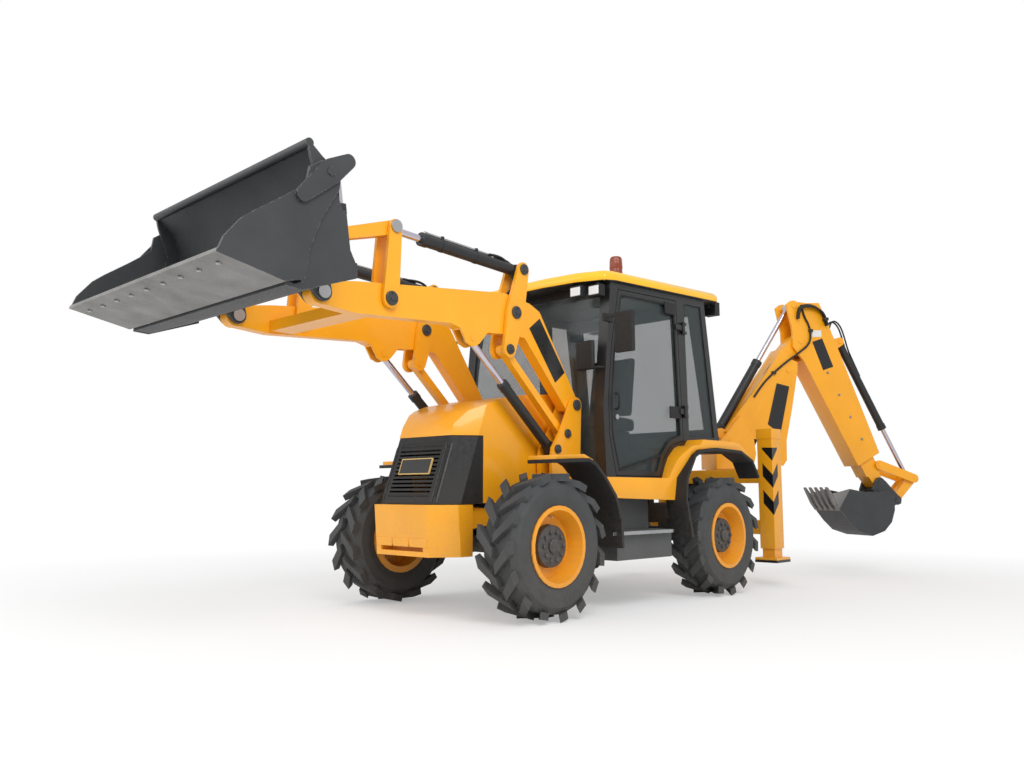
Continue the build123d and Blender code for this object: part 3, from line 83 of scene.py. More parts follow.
class Graph:
    """Shader nodes of one material, wired by small calls."""

    def __init__(self, tree: bpy.types.NodeTree) -> None:
        """Start from an empty tree.

        Args:
            tree: The material's node tree.
        """
        self.tree = tree
        self.tree.nodes.clear()

    def add(self, kind: str, **settings: object) -> bpy.types.Node:
        """Add a node.

        Args:
            kind: The node's type.
            settings: Properties to set on it.

        Returns:
            The new node.
        """
        node = self.tree.nodes.new(kind)
        for key, value in settings.items():
            setattr(node, key, value)
        return node

    def feed(self, socket: bpy.types.NodeSocket, value: object) -> None:
        """Link a socket to another one, or set it to a constant.

        Args:
            socket: The input to feed.
            value: An output socket or a constant.
        """
        if isinstance(value, bpy.types.NodeSocket):
            self.tree.links.new(value, socket)
        elif isinstance(value, tuple) and len(value) == 3 and len(socket.default_value) == 4:
            socket.default_value = (*value, 1.0)
        else:
            socket.default_value = value

    def noise(self, place: bpy.types.NodeSocket, scale: float, detail: float) -> bpy.types.NodeSocket:
        """Add cloudy noise.

        Args:
            place: The coordinates it follows.
            scale: Its clouds per metre.
            detail: How many finer layers it has.

        Returns:
            The noise's value output.
        """
        node = self.add("ShaderNodeTexNoise")
        self.feed(node.inputs["Vector"], place)
        self.feed(node.inputs["Scale"], scale)
        self.feed(node.inputs["Detail"], detail)
        return node.outputs["Fac"]

    def spread(self, value: bpy.types.NodeSocket, source: Pair, target: Pair) -> bpy.types.NodeSocket:
        """Map a value from one range onto another, held at its ends.

        Args:
            value: The value to map.
            source: The range it comes in.
            target: The range it leaves in.

        Returns:
            The mapped value.
        """
        node = self.add("ShaderNodeMapRange", clamp=True)
        self.feed(node.inputs["Value"], value)
        for name, number in zip(("From Min", "From Max", "To Min", "To Max"), (*source, *target)):
            self.feed(node.inputs[name], number)
        return node.outputs["Result"]

    def sum(self, kind: str, first: object, second: object) -> bpy.types.NodeSocket:
        """Work out a sum of two values.

        Args:
            kind: The operation, such as MULTIPLY.
            first: The first value.
            second: The second value.

        Returns:
            The result.
        """
        node = self.add("ShaderNodeMath", operation=kind)
        self.feed(node.inputs[0], first)
        self.feed(node.inputs[1], second)
        return node.outputs[0]

    def mix(self, share: object, first: object, second: object) -> bpy.types.NodeSocket:
        """Mix two colours.

        Args:
            share: How much of the second colour shows.
            first: The first colour.
            second: The second colour.

        Returns:
            The mixed colour.
        """
        node = self.add("ShaderNodeMix", data_type="RGBA")
        self.feed(node.inputs[0], share)
        self.feed(node.inputs[6], first)
        self.feed(node.inputs[7], second)
        return node.outputs[2]


class Weave(Enum):
    """Surface structure that a finish shows close up."""

    GRAIN = "grain"
    CLOTH = "cloth"
    RIBS = "ribs"


@dataclass(frozen=True)
class Finish:
    """One finish: a colour that wanders, wears through at edges and gathers dust low down."""

    name: str
    colour: Colour
    roughness: float = 0.45
    metallic: float = 0.0
    coat: float = 0.0
    wander: float = 0.08
    patch: float = 3.0
    grain: float = 0.04
    grain_scale: float = 220.0
    worn: Colour = (0.18, 0.17, 0.16)
    wear: float = 0.0
    dust: float = 0.0
    dust_height: float = 1.1
    alpha: float = 1.0
    glow: float = 0.0
    weave: Weave = Weave.GRAIN

    def material(self) -> bpy.types.Material:
        """Build the finish's material, once.

        Returns:
            The material.
        """
        found = bpy.data.materials.get(self.name)
        if found is not None:
            return found
        made = bpy.data.materials.new(self.name)
        made.use_nodes = True
        made.diffuse_color = (*self.colour, 1.0)
        graph = Graph(made.node_tree)
        place = graph.add("ShaderNodeTexCoord").outputs["Object"]
        broad = graph.noise(place, self.patch, 5.0)
        small = graph.noise(place, self.patch * 14, 3.0)
        hue = graph.add("ShaderNodeHueSaturation")
        graph.feed(hue.inputs["Color"], self.colour)
        graph.feed(hue.inputs["Value"], graph.spread(broad, (0.3, 0.7), (1 - self.wander, 1 + self.wander)))
        colour = hue.outputs["Color"]
        if self.wear > 0:
            colour = graph.mix(self._edge(graph, small), colour, self.worn)
        if self.dust > 0:
            colour = graph.mix(self._dust(graph, place, small), colour, screen(150, 138, 118))
        surface = graph.add("ShaderNodeBsdfPrincipled")
        graph.feed(surface.inputs["Base Color"], colour)
        limits = (max(self.roughness - 0.06, 0.02), min(self.roughness + 0.08, 1.0))
        rough = graph.spread(small, (0.3, 0.7), limits)
        graph.feed(surface.inputs["Roughness"], rough)
        graph.feed(surface.inputs["Metallic"], self.metallic)
        graph.feed(surface.inputs["Coat Weight"], self.coat)
        graph.feed(surface.inputs["Alpha"], self.alpha)
        graph.feed(surface.inputs["Normal"], self._relief(graph, place))
        if self.glow > 0:
            graph.feed(surface.inputs["Emission Color"], self.colour)
            graph.feed(surface.inputs["Emission Strength"], self.glow)
        output = graph.add("ShaderNodeOutputMaterial")
        graph.feed(output.inputs["Surface"], surface.outputs["BSDF"])
        return made

    def _edge(self, graph: Graph, small: bpy.types.NodeSocket) -> bpy.types.NodeSocket:
        """Find how far edges are worn through.

        Args:
            graph: The material's nodes.
            small: Fine noise that breaks the wear up.

        Returns:
            The share of the worn colour.
        """
        rounded = graph.add("ShaderNodeBevel", samples=4)
        graph.feed(rounded.inputs["Radius"], 0.006)
        flat = graph.add("ShaderNodeNewGeometry").outputs["Normal"]
        match = graph.add("ShaderNodeVectorMath", operation="DOT_PRODUCT")
        graph.feed(match.inputs[0], rounded.outputs["Normal"])
        graph.feed(match.inputs[1], flat)
        edge = graph.spread(match.outputs["Value"], (0.985, 0.88), (0.0, 1.0))
        broken = graph.spread(small, (0.46, 0.6), (0.0, self.wear))
        return graph.sum("MULTIPLY", edge, broken)

    def _dust(self, graph: Graph, place: bpy.types.NodeSocket, small: bpy.types.NodeSocket) -> bpy.types.NodeSocket:
        """Find how much dust lies at a height.

        Args:
            graph: The material's nodes.
            place: The coordinates, whose z is height.
            small: Fine noise that breaks the dust up.

        Returns:
            The share of the dust colour.
        """
        split = graph.add("ShaderNodeSeparateXYZ")
        graph.feed(split.inputs[0], place)
        low = graph.spread(split.outputs["Z"], (self.dust_height, 0.0), (0.0, self.dust))
        return graph.sum("MULTIPLY", low, graph.spread(small, (0.35, 0.65), (0.2, 1.0)))

    def _relief(self, graph: Graph, place: bpy.types.NodeSocket) -> bpy.types.NodeSocket:
        """Add the close-up structure.

        Args:
            graph: The material's nodes.
            place: The coordinates.

        Returns:
            The normal output.
        """
        if self.weave is Weave.GRAIN:
            height = graph.noise(place, self.grain_scale, 3.0)
        else:
            bands = "Y" if self.weave is Weave.RIBS else "DIAGONAL"
            wave = graph.add("ShaderNodeTexWave", bands_direction=bands)
            graph.feed(wave.inputs["Vector"], place)
            graph.feed(wave.inputs["Scale"], self.grain_scale)
            height = wave.outputs["Fac"]
        bump = graph.add("ShaderNodeBump")
        graph.feed(bump.inputs["Strength"], self.grain)
        graph.feed(bump.inputs["Distance"], 0.002)
        graph.feed(bump.inputs["Height"], height)
        return bump.outputs["Normal"]


BODY_YELLOW = Finish(
    "body_yellow", screen(246, 168, 18), 0.36, coat=0.3, wander=0.05, worn=screen(130, 118, 100),
    wear=0.35, dust=0.22,
)
ROOF_YELLOW = Finish("roof_yellow", screen(250, 190, 22), 0.35, coat=0.3, wander=0.05)
RIM_YELLOW = Finish(
    "rim_yellow", screen(238, 156, 14), 0.42, coat=0.15, wander=0.07, wear=0.3, dust=0.2,
    worn=screen(130, 118, 100),
)
CHARCOAL = Finish(
    "shovel_charcoal", screen(54, 56, 58), 0.5, wander=0.16, patch=4.0, worn=screen(150, 148, 146),
    wear=0.7,
)
BLADE_GREY = Finish(
    "blade_grey", screen(124, 123, 121), 0.45, metallic=0.35, wander=0.22, patch=6.0,
    worn=screen(178, 176, 172), wear=0.8,
)
FRAME_BLACK = Finish(
    "frame_black", screen(34, 35, 37), 0.48, wander=0.1, worn=screen(96, 94, 92), wear=0.3, dust=0.35,
)
CAB_BLACK = Finish("cab_black", screen(26, 27, 29), 0.4, coat=0.1, wander=0.08)
HUB_GREY = Finish(
    "hub_grey", screen(56, 58, 60), 0.52, wander=0.12, worn=screen(120, 118, 116), wear=0.5, dust=0.3,
)
CAST_GREY = Finish("cast_grey", screen(50, 51, 53), 0.6, wander=0.12, grain=0.2, grain_scale=120.0, dust=0.4)
TYRE = Finish(
    "tyre_rubber", screen(60, 62, 64), 0.7, wander=0.14, patch=5.0, grain=0.15, grain_scale=160.0,
    worn=screen(104, 105, 105), wear=0.6, dust=0.14, dust_height=1.0,
)
CHROME = Finish("ram_chrome", screen(206, 200, 212), 0.12, metallic=1.0, wander=0.03, grain=0.01)
PIN_STEEL = Finish(
    "pin_steel", screen(78, 78, 80), 0.38, metallic=0.7, wander=0.12, worn=screen(150, 150, 150),
    wear=0.6,
)
ZINC = Finish("zinc_bolt", screen(150, 150, 146), 0.35, metallic=0.85, wander=0.1)
TRIM = Finish("trim_black", screen(24, 24, 25), 0.62, wander=0.08, grain=0.12, grain_scale=320.0, dust=0.2)
HOSE = Finish("hose_rubber", screen(22, 22, 23), 0.55, wander=0.08, grain=0.1, grain_scale=400.0)
TREAD = Finish(
    "tread_alloy", screen(168, 170, 172), 0.32, metallic=0.8, wander=0.1, grain=0.2,
    grain_scale=90.0, wear=0.4, worn=screen(210, 210, 210),
)
CAB_GLASS = Finish("cab_glass_tint", screen(74, 84, 86), 0.04, wander=0.04, grain=0.0, alpha=0.32)
MIRROR = Finish("mirror_glass", screen(190, 195, 200), 0.05, metallic=1.0, wander=0.02, grain=0.0)
LENS = Finish(
    "lamp_lens", screen(232, 234, 236), 0.12, wander=0.03, grain=0.5, grain_scale=60.0,
    weave=Weave.RIBS,
)
STEP_GREY = Finish(
    "step_grey", screen(74, 77, 79), 0.5, wander=0.08, dust=0.15, worn=screen(120, 120, 118), wear=0.3,
)
PLATE_BLACK = Finish("plate_black", screen(20, 20, 21), 0.32, coat=0.2, wander=0.06)
PLATE_WHITE = Finish("plate_white", screen(226, 226, 222), 0.4, wander=0.05)
PLATE_GOLD = Finish("plate_rim", screen(208, 176, 108), 0.35, wander=0.06)
BEACON = Finish(
    "beacon_lens", screen(134, 60, 34), 0.2, wander=0.08, grain=0.4, grain_scale=60.0,
    weave=Weave.RIBS,
)
CLOTH = Finish(
    "seat_cloth", screen(40, 41, 44), 0.9, wander=0.12, patch=30.0, grain=0.6, grain_scale=260.0,
    weave=Weave.CLOTH,
)


@dataclass(frozen=True)
class Layout:
    """Places on the machine: x forward from the rear axle, y left from the middle, z up, in metres."""

    rear: Vector
    slew: Vector
    reach: Vector
    left: Vector

    @classmethod
    def of_frame(cls) -> "Layout":
        """Read the axle, the slew post and the backhoe's direction from the joints.

        Returns:
            The layout.
        """
        joints = {joint["name"]: joint for joint in frame["joints"]}
        near = Vector(joints["wheel_rear_left_spin"]["pos_m"])
        far = Vector(joints["wheel_rear_right_spin"]["pos_m"])
        middle = (near + far) / 2
        left = Vector(joints["boom_swing"]["axis"])
        slew = Vector(joints["slew"]["pos_m"])
        return cls(Vector((middle.x, middle.y, 0)), Vector((slew.x, slew.y, 0)), Vector((-left.y, left.x, 0)), left)

    def at(self, x: float, y: float, z: float) -> Vector:
        """Place a point given from the rear axle."""
        return self.rear + Vector((x, y, z))

    def slewed(self, reach: float, left: float, z: float) -> Vector:
        """Place a point given from the slew post, out along the backhoe, to its left and up."""
        return self.slew + self.reach * reach + self.left * left + Vector((0, 0, z))


LAYOUT = Layout.of_frame()
# Each side's name and its direction across the machine.
SIDES = (("left", 1), ("right", -1))


def around(centre: Vector, radius: float, turn: float) -> Vector:
    """Step round a point on the machine's side."""
    return centre + Vector((math.cos(turn), 0, math.sin(turn))) * radius


class Stock:
    """Gathers solid forms in one mesh and turns them into a dressed piece."""

    def __init__(self) -> None:
        """Start with nothing."""
        self.mesh = bmesh.new()

    def prism(self, outline: Sequence[Vector], through: Vector) -> "Stock":
        """Add a flat outline swept straight.

        Args:
            outline: Its corners, in order.
            through: The sweep.

        Returns:
            This stock.
        """
        corners = [self.mesh.verts.new(point) for point in outline]
        base = self.mesh.faces.new(corners)
        swept = bmesh.ops.extrude_face_region(self.mesh, geom=[base])
        moved = [item for item in swept["geom"] if isinstance(item, bmesh.types.BMVert)]
        bmesh.ops.translate(self.mesh, vec=through, verts=moved)
        self.mesh.faces.new(list(reversed([self.mesh.verts.new(point) for point in outline])))
        bmesh.ops.remove_doubles(self.mesh, verts=self.mesh.verts[:], dist=0.00001)
        return self

    def block(self, low: Vector, high: Vector) -> "Stock":
        """Add a straight block between two corners."""
        sides = ((low.x, low.y), (high.x, low.y), (high.x, high.y), (low.x, high.y))
        return self.prism([Vector((x, y, low.z)) for x, y in sides], Vector((0, 0, high.z - low.z)))

    def lathe(self, profile: Sequence[Pair], origin: Vector, axis: Vector, sides: int = 24) -> "Stock":
        """Add a turned form.

        Args:
            profile: (distance along the axis, radius) steps.
            origin: Where the axis starts.
            axis: The axis's direction.
            sides: Flats round the form.

        Returns:
            This stock.
        """
        turn = axis.normalized().to_track_quat("Z", "Y").to_matrix()
        rings = []
        for along, radius in profile:
            ring = []
            for step in range(sides):
                angle = 2 * math.pi * step / sides
                spot = Vector((radius * math.cos(angle), radius * math.sin(angle), along))
                ring.append(self.mesh.verts.new(origin + turn @ spot))
            rings.append(ring)
        for lower, upper in zip(rings, rings[1:]):
            for step in range(sides):
                after = (step + 1) % sides
                self.mesh.faces.new((lower[step], lower[after], upper[after], upper[step]))
        self.mesh.faces.new(list(reversed(rings[0])))
        self.mesh.faces.new(rings[-1])
        return self

    def bolt(self, origin: Vector, axis: Vector, across: float, height: float) -> "Stock":
        """Add a hexagon bolt head on its washer."""
        half = across / math.sqrt(3)
        washer = height * 0.22
        self.lathe([(0, across * 0.72), (washer, across * 0.72)], origin, axis, 16)
        return self.lathe([(washer, half), (height * 0.85, half), (height, half * 0.8)], origin, axis, 6)

    def piece(self, name: str, finish: Finish, body: str, bevel: float = 0.0015) -> bpy.types.Object:
        """Turn the stock into a piece that rides on a body.

        Args:
            name: The piece's name.
            finish: Its finish.
            body: The body it moves with.
            bevel: Radius of its rounded edges, or 0.

        Returns:
            The piece.
        """
        bmesh.ops.recalc_face_normals(self.mesh, faces=self.mesh.faces[:])
        for face in self.mesh.faces:
            face.smooth = True
        for edge in self.mesh.edges:
            edge.smooth = len(edge.link_faces) == 2 and edge.calc_face_angle(0.0) < math.radians(32)
        data = bpy.data.meshes.new(name)
        self.mesh.to_mesh(data)
        self.mesh.free()
        made = bpy.data.objects.new(name, data)
        bpy.context.scene.collection.objects.link(made)
        data.materials.append(finish.material())
        if bevel > 0:
            rounding = made.modifiers.new("rounding", "BEVEL")
            rounding.width = bevel
            rounding.segments = 2
            rounding.limit_method = "ANGLE"
            rounding.angle_limit = math.radians(35)
        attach(made, body)
        return made


def hose(name: str, points: Iterable[Vector], radius: float, finish: Finish = HOSE) -> bpy.types.Object:
    """Make a round hose or pipe along a smooth line.

    Args:
        name: The piece's name.
        points: The line's control points.
        radius: The hose's radius.
        finish: Its finish.

    Returns:
        The piece, which rides on nothing yet.
    """
    curve = bpy.data.curves.new(name + "_line", "CURVE")
    curve.dimensions = "3D"
    curve.bevel_depth = radius
    curve.bevel_resolution = 3
    curve.resolution_u = 10
    curve.use_fill_caps = True
    route = list(points)
    spline = curve.splines.new("NURBS")
    spline.points.add(len(route) - 1)
    for control, point in zip(spline.points, route):
        control.co = (*point, 1.0)
    spline.order_u = 3
    spline.use_endpoint_u = True
    line = bpy.data.objects.new(name + "_line", curve)
    data = bpy.data.meshes.new_from_object(line)
    data.name = name
    made = bpy.data.objects.new(name, data)
    bpy.context.scene.collection.objects.link(made)
    bpy.data.objects.remove(line)
    data.materials.clear()
    data.materials.append(finish.material())
    for polygon in data.polygons:
        polygon.use_smooth = True
    return made


@dataclass(frozen=True)
class Rule:
    """Faces of a solid that take another finish, told by their middle and direction."""

    finish: Finish
    holds: Callable[[Vector, Vector], bool]


@dataclass
class SolidFinishes:
    """Dresses the solids: a finish for each, with rules for faces that differ."""

    smooth_below: float = 32.0
    pane_y: float = 0.76
    plain: dict[str, Finish] = field(default_factory=dict)
    rules: dict[str, list[Rule]] = field(default_factory=dict)
    rounded: tuple[tuple[str, float], ...] = (
        ("hood", 0.03),
        ("cab_roof", 0.014),
        ("bodywork", 0.014),
        ("fenders", 0.006),
        ("rear_frame", 0.005),
        ("boom", 0.005),
        ("dipper", 0.005),
        ("kingpost", 0.005),
    )

    def plan(self) -> None:
        """Settle every solid's finish."""
        slots = {
            "machine_paint": BODY_YELLOW,
            "roof_paint": ROOF_YELLOW,
            "frame_paint": FRAME_BLACK,
            "bucket_paint": CHARCOAL,
            "pin_steel": PIN_STEEL,
            "rod_chrome": CHROME,
            "cast": CAST_GREY,
            "tyre": TYRE,
            "cab_glass": CAB_GLASS,
            "trim": TRIM,
            "seat_cover": CLOTH,
        }
        for part in frame["record"]["subparts"]:
            self.plain[part["node"]] = slots[part["material_slot"]]
        for place in ("front_left", "front_right", "rear_left", "rear_right"):
            self.plain[f"rim_{place}"] = RIM_YELLOW
            axle = 2.187 if place.startswith("front") else 0.0
            self.rules[f"rim_{place}"] = [Rule(HUB_GREY, self._within(axle, 0.5, 0.152))]
        for node in ("cab_shell", "door_left", "door_right"):
            self.plain[node] = CAB_BLACK
        for node in ("door_left", "door_right"):
            self.rules[node] = [Rule(CAB_GLASS, self._pane)]
        self.rules["cab_roof"] = [Rule(CAB_BLACK, lambda middle, facing: facing.z < -0.3)]
        self.rules["chassis"] = [Rule(BODY_YELLOW, self._painted_frame)]
        self.rules["jaw"] = [
            Rule(BLADE_GREY, lambda middle, facing: middle.x > 4.25 and middle.z < 2.06 and abs(facing.y) < 0.5)
        ]
        self.rules["backhoe_bucket"] = [Rule(BLADE_GREY, self._teeth)]
        self.rules["lamps_mirrors"] = [
            Rule(BEACON, lambda middle, facing: middle.z > 2.64 and abs(middle.x - 0.88) < 0.2)
        ]
        self.plain["step_boxes"] = STEP_GREY

    def _within(self, x: float, z: float, radius: float) -> Callable[[Vector, Vector], bool]:
        """Make a test for faces close to an axle's line."""
        return lambda middle, facing: math.hypot(middle.x - x, middle.z - z) < radius

    def _painted_frame(self, middle: Vector, facing: Vector) -> bool:
        """Tell whether a face of the frame is painted: the towers, and the rails' sides at the nose."""
        tower = abs(middle.y) > 0.41 and middle.z > 0.79
        return tower or (middle.x > 2.0 and abs(facing.y) > 0.5 and abs(middle.y) > 0.3)

    def _pane(self, middle: Vector, facing: Vector) -> bool:
        """Tell whether a face is on a door's pane."""
        return abs(facing.y) > 0.9 and abs(abs(middle.y) - self.pane_y) < 0.006

    def _teeth(self, middle: Vector, facing: Vector) -> bool:
        """Tell whether a face is on the backhoe bucket's teeth."""
        away = LAYOUT.rear + middle - LAYOUT.slew
        return away.dot(LAYOUT.reach) < 1.5

    def build(self) -> None:
        """Dress every solid and smooth its round faces."""
        self.plan()
        for name, solid in frame["nodes"].items():
            data = solid.data
            rules = self.rules.get(name, [])
            data.materials.clear()
            for finish in [self.plain[name]] + [rule.finish for rule in rules]:
                data.materials.append(finish.material())
            for polygon in data.polygons:
                polygon.use_smooth = True
                middle = Vector(polygon.center) - LAYOUT.rear
                facing = Vector(polygon.normal)
                matches = (place for place, rule in enumerate(rules, 1) if rule.holds(middle, facing))
                polygon.material_index = next(matches, 0)
            if "custom_normal" in data.attributes:
                data.attributes.remove(data.attributes["custom_normal"])
            weld = solid.modifiers.new("weld", "WELD")
            weld.merge_threshold = 0.00002
            self._round(solid, dict(self.rounded).get(name, 0.0))
            split = solid.modifiers.new("edges", "EDGE_SPLIT")
            split.split_angle = math.radians(self.smooth_below)
        LOG.info("dressed %d solids", len(frame["nodes"]))

    def _round(self, solid: bpy.types.Object, radius: float) -> None:
        """Round a solid's edges over merged flat faces.

        Args:
            solid: The solid.
            radius: The edges' radius, or 0 to leave them.
        """
        if radius <= 0:
            return
        merge = solid.modifiers.new("flats", "DECIMATE")
        merge.decimate_type = "DISSOLVE"
        merge.angle_limit = math.radians(0.5)
        merge.delimit = {"MATERIAL"}
        rounding = solid.modifiers.new("rounding", "BEVEL")
        rounding.width = radius
        rounding.segments = 3
        rounding.limit_method = "ANGLE"
        rounding.angle_limit = math.radians(28)


@dataclass
class WheelFittings:
    """Nuts, hub cap and valve of the four wheels."""

    axle_height: float = 0.5
    track: float = 1.666
    wheelbase: float = 2.187
    hub_face: float = 0.095
    nut_circle: float = 0.098
    nuts: int = 10
    nut_across: float = 0.027
    nut_height: float = 0.016
    cap_radius: float = 0.052
    rim_seat: float = 0.206

    def build(self) -> None:
        """Build the fittings on each wheel."""
        for end, x in (("front", self.wheelbase), ("rear", 0.0)):
            for side, hand in SIDES:
                self._wheel(f"{end}_{side}", x, hand)
        LOG.info("wheel fittings on 4 wheels")

    def _wheel(self, place: str, x: float, hand: int) -> None:
        """Build one wheel's fittings.

        Args:
            place: The wheel's name.
            x: Its axle, forward of the rear one.
            hand: 1 on the left, -1 on the right.
        """
        out = Vector((0, hand, 0))
        face = LAYOUT.at(x, hand * (self.track / 2 + self.hub_face), self.axle_height)
        stock = Stock()
        for step in range(self.nuts):
            spot = around(face, self.nut_circle, 2 * math.pi * step / self.nuts)
            stock.bolt(spot - out * 0.001, out, self.nut_across, self.nut_height)
        stock.piece(f"wheel_nuts_{place}", HUB_GREY, f"wheel_{place}", 0.0008)
        cap = Stock()
        steps = ((-0.001, 1.0), (0.014, 1.0), (0.02, 0.86), (0.024, 0.5))
        cap.lathe([(away, self.cap_radius * share) for away, share in steps], face, out, 32)
        for step in range(4):
            spot = around(face, self.cap_radius * 0.66, math.pi / 4 + math.pi / 2 * step)
            cap.bolt(spot + out * 0.018, out, 0.009, 0.006)
        cap.piece(f"hub_cap_{place}", HUB_GREY, f"wheel_{place}")
        seat = LAYOUT.at(x, hand * (self.track / 2 + 0.045), self.axle_height) + Vector((0, 0, self.rim_seat))
        valve = Stock()
        lean = (out + Vector((0, 0, -0.35))).normalized()
        valve.lathe([(0, 0.006), (0.03, 0.006), (0.031, 0.0045), (0.042, 0.0045)], seat, lean, 12)
        valve.piece(f"valve_{place}", PIN_STEEL, f"wheel_{place}", 0.0)


@dataclass
class LoaderPins:
    """Caps over the loader's pins on the outer plates, each with its bolts."""

    arm_y: float = 0.5
    outer_face: float = 0.075
    thickness: float = 0.014
    # pin, x, z, cap radius, body
    pins: tuple[tuple[str, float, float, float, str], ...] = (
        ("arm_foot", 1.511, 1.528, 0.042, "chassis"),
        ("stay_foot", 1.621, 1.303, 0.034, "chassis"),
        ("lift_foot", 1.736, 1.182, 0.034, "chassis"),
        ("lever_middle", 2.181, 2.154, 0.046, "levers"),
        ("lever_top", 2.100, 2.488, 0.040, "levers"),
        ("lever_foot", 2.244, 1.878, 0.036, "levers"),
        ("crank_foot", 3.317, 2.077, 0.046, "cranks"),
    )

    def build(self) -> None:
        """Build a cap at each pin, on both arms."""
        for name, x, z, radius, body in self.pins:
            for side, hand in SIDES:
                out = Vector((0, hand, 0))
                for plate, away in (("outer", 1), ("inner", -1))[: 1 if name == "lever_foot" else 2]:
                    face = LAYOUT.at(x, hand * (self.arm_y + away * self.outer_face), z)
                    across = out * away
                    stock = Stock()
                    edge = [(-0.001, radius), (self.thickness - 0.003, radius), (self.thickness, radius * 0.9)]
                    stock.lathe(edge, face, across, 28)
                    boss = [(self.thickness - 0.001, radius * 0.45), (self.thickness + 0.008, radius * 0.4)]
                    stock.lathe(boss, face, across, 20)
                    for step in range(3):
                        spot = around(face, radius * 0.7, math.pi / 2 + 2 * math.pi / 3 * step)
                        stock.bolt(spot + across * (self.thickness - 0.001), across, 0.012, 0.008)
                    stock.piece(f"{name}_cap_{plate}_{side}", HUB_GREY, body, 0.001)
        LOG.info("loader pin caps at %d pins", len(self.pins))


@dataclass
class LoaderLines:
    """Steel pipe along each tilt ram, its clamps, and the hoses that feed it."""

    arm_y: float = 0.5
    lever_top: Pair = (2.100, 2.488)
    crank_top: Pair = (3.289, 2.552)
    barrel_radius: float = 0.042
    pipe_radius: float = 0.0085
    hose_radius: float = 0.0105
    clamp_half: float = 0.012
    clamp_side: float = 0.014
    clamps_at: Pair = (0.42, 0.74)

    def _along(self, distance: float, above: float, hand: int, aside: float = 0.0) -> Vector:
        """Place a point along the tilt ram, above its line and to one side of its middle."""
        dx, dz = self.crank_top[0] - self.lever_top[0], self.crank_top[1] - self.lever_top[1]
        size = math.hypot(dx, dz)
        x = self.lever_top[0] + dx / size * distance - dz / size * above
        z = self.lever_top[1] + dz / size * distance + dx / size * above
        return LAYOUT.at(x, hand * (self.arm_y + aside), z)

    def build(self) -> None:
        """Build the lines on both sides."""
        top = self.barrel_radius + self.pipe_radius + 0.003
        for side, hand in SIDES:
            route = [(0.9, self.barrel_radius), (0.9, top + 0.004)]
            route += [(0.87, top), (0.6, top), (0.34, top), (0.3, top), (0.28, top - 0.004)]
            points = [self._along(d, h, hand) for d, h in route]
            pipe = hose(f"tilt_pipe_{side}", points, self.pipe_radius, PIN_STEEL)
            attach(pipe, "tilt_ram_barrels")
            clamps = Stock()
            for distance in self.clamps_at:
                spot = self._along(distance, 0, hand)
                ahead = self._along(distance + 0.01, 0, hand) - spot
                ring = self.barrel_radius + 0.003
                clamps.lathe([(-self.clamp_half, ring), (self.clamp_half, ring)], spot, ahead, 28)
                low = self._along(distance - self.clamp_half, ring - 0.004, hand, -self.clamp_side)
                high = self._along(distance + self.clamp_half, top + 0.012, hand, self.clamp_side)
                clamps.block(low, high)
            clamps.piece(f"tilt_pipe_clamps_{side}", FRAME_BLACK, "tilt_ram_barrels", 0.001)
            for number, (start, aside, drop) in enumerate(((0.30, 0.012, 0.16), (0.22, -0.016, 0.19))):
                route = [(start, top - 0.004), (start - 0.1, top + 0.012), (start - 0.2, top - 0.02)]
                bend = [self._along(d, h, hand, aside) for d, h in route]
                for back, height in ((0.27, -0.06 - drop / 4), (0.24, -drop), (0.19, -drop - 0.05)):
                    bend.append(self._along(start - back, height, hand, aside))
                line = hose(f"tilt_hose_{number + 1}_{side}", bend, self.hose_radius)
                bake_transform(line)
        LOG.info("loader lines on both arms")


@dataclass
class BlankPlates:
    """Plain raised plates on the arms, the boom and the dipper."""

    sheet: float = 0.0025
    seat: float = 0.001
    arm_face: float = 0.545
    boom_face: float = 0.125
    arm_corners: tuple[Pair, ...] = ((1.897, 2.154), (2.011, 2.065), (1.724, 1.685), (1.616, 1.772))

    def build(self) -> None:
        """Build the plates."""
        for side, hand in SIDES:
            corners = [LAYOUT.at(x, hand * self.arm_face, z) for x, z in self.arm_corners]
            self._plate(f"arm_plate_{side}", PLATE_BLACK, "loader_arms", corners, Vector((0, hand, 0)))
        for name, body, finish, corners in (
            ("boom", "boom", PLATE_BLACK, ((0.836, 2.015), (0.985, 1.985), (0.858, 1.47), (0.715, 1.575))),
            ("dipper", "dipper", PLATE_BLACK, ((1.285, 2.48), (1.407, 2.523), (1.529, 2.216), (1.403, 2.173))),
            ("dipper_upper", "dipper", PLATE_WHITE, ((1.288, 2.605), (1.400, 2.612), (1.400, 2.54), (1.286, 2.533))),
        ):
            for side, hand in SIDES:
                outline = [LAYOUT.slewed(reach, hand * self.boom_face, z) for reach, z in corners]
                self._plate(f"{name}_plate_{side}", finish, body, outline, LAYOUT.left * hand)
        LOG.info("blank plates")

    def _plate(self, name: str, finish: Finish, body: str, corners: Sequence[Vector], outward: Vector) -> None:
        """Build one plate.

        Args:
            name: The plate's name.
            finish: Its finish.
            body: The body it rides on.
            corners: Its corners on the surface, in order.
            outward: Away from the surface.
        """
        seated = [corner - outward * self.seat for corner in corners]
        Stock().prism(seated, outward * (self.sheet + self.seat)).piece(name, finish, body, 0.0008)


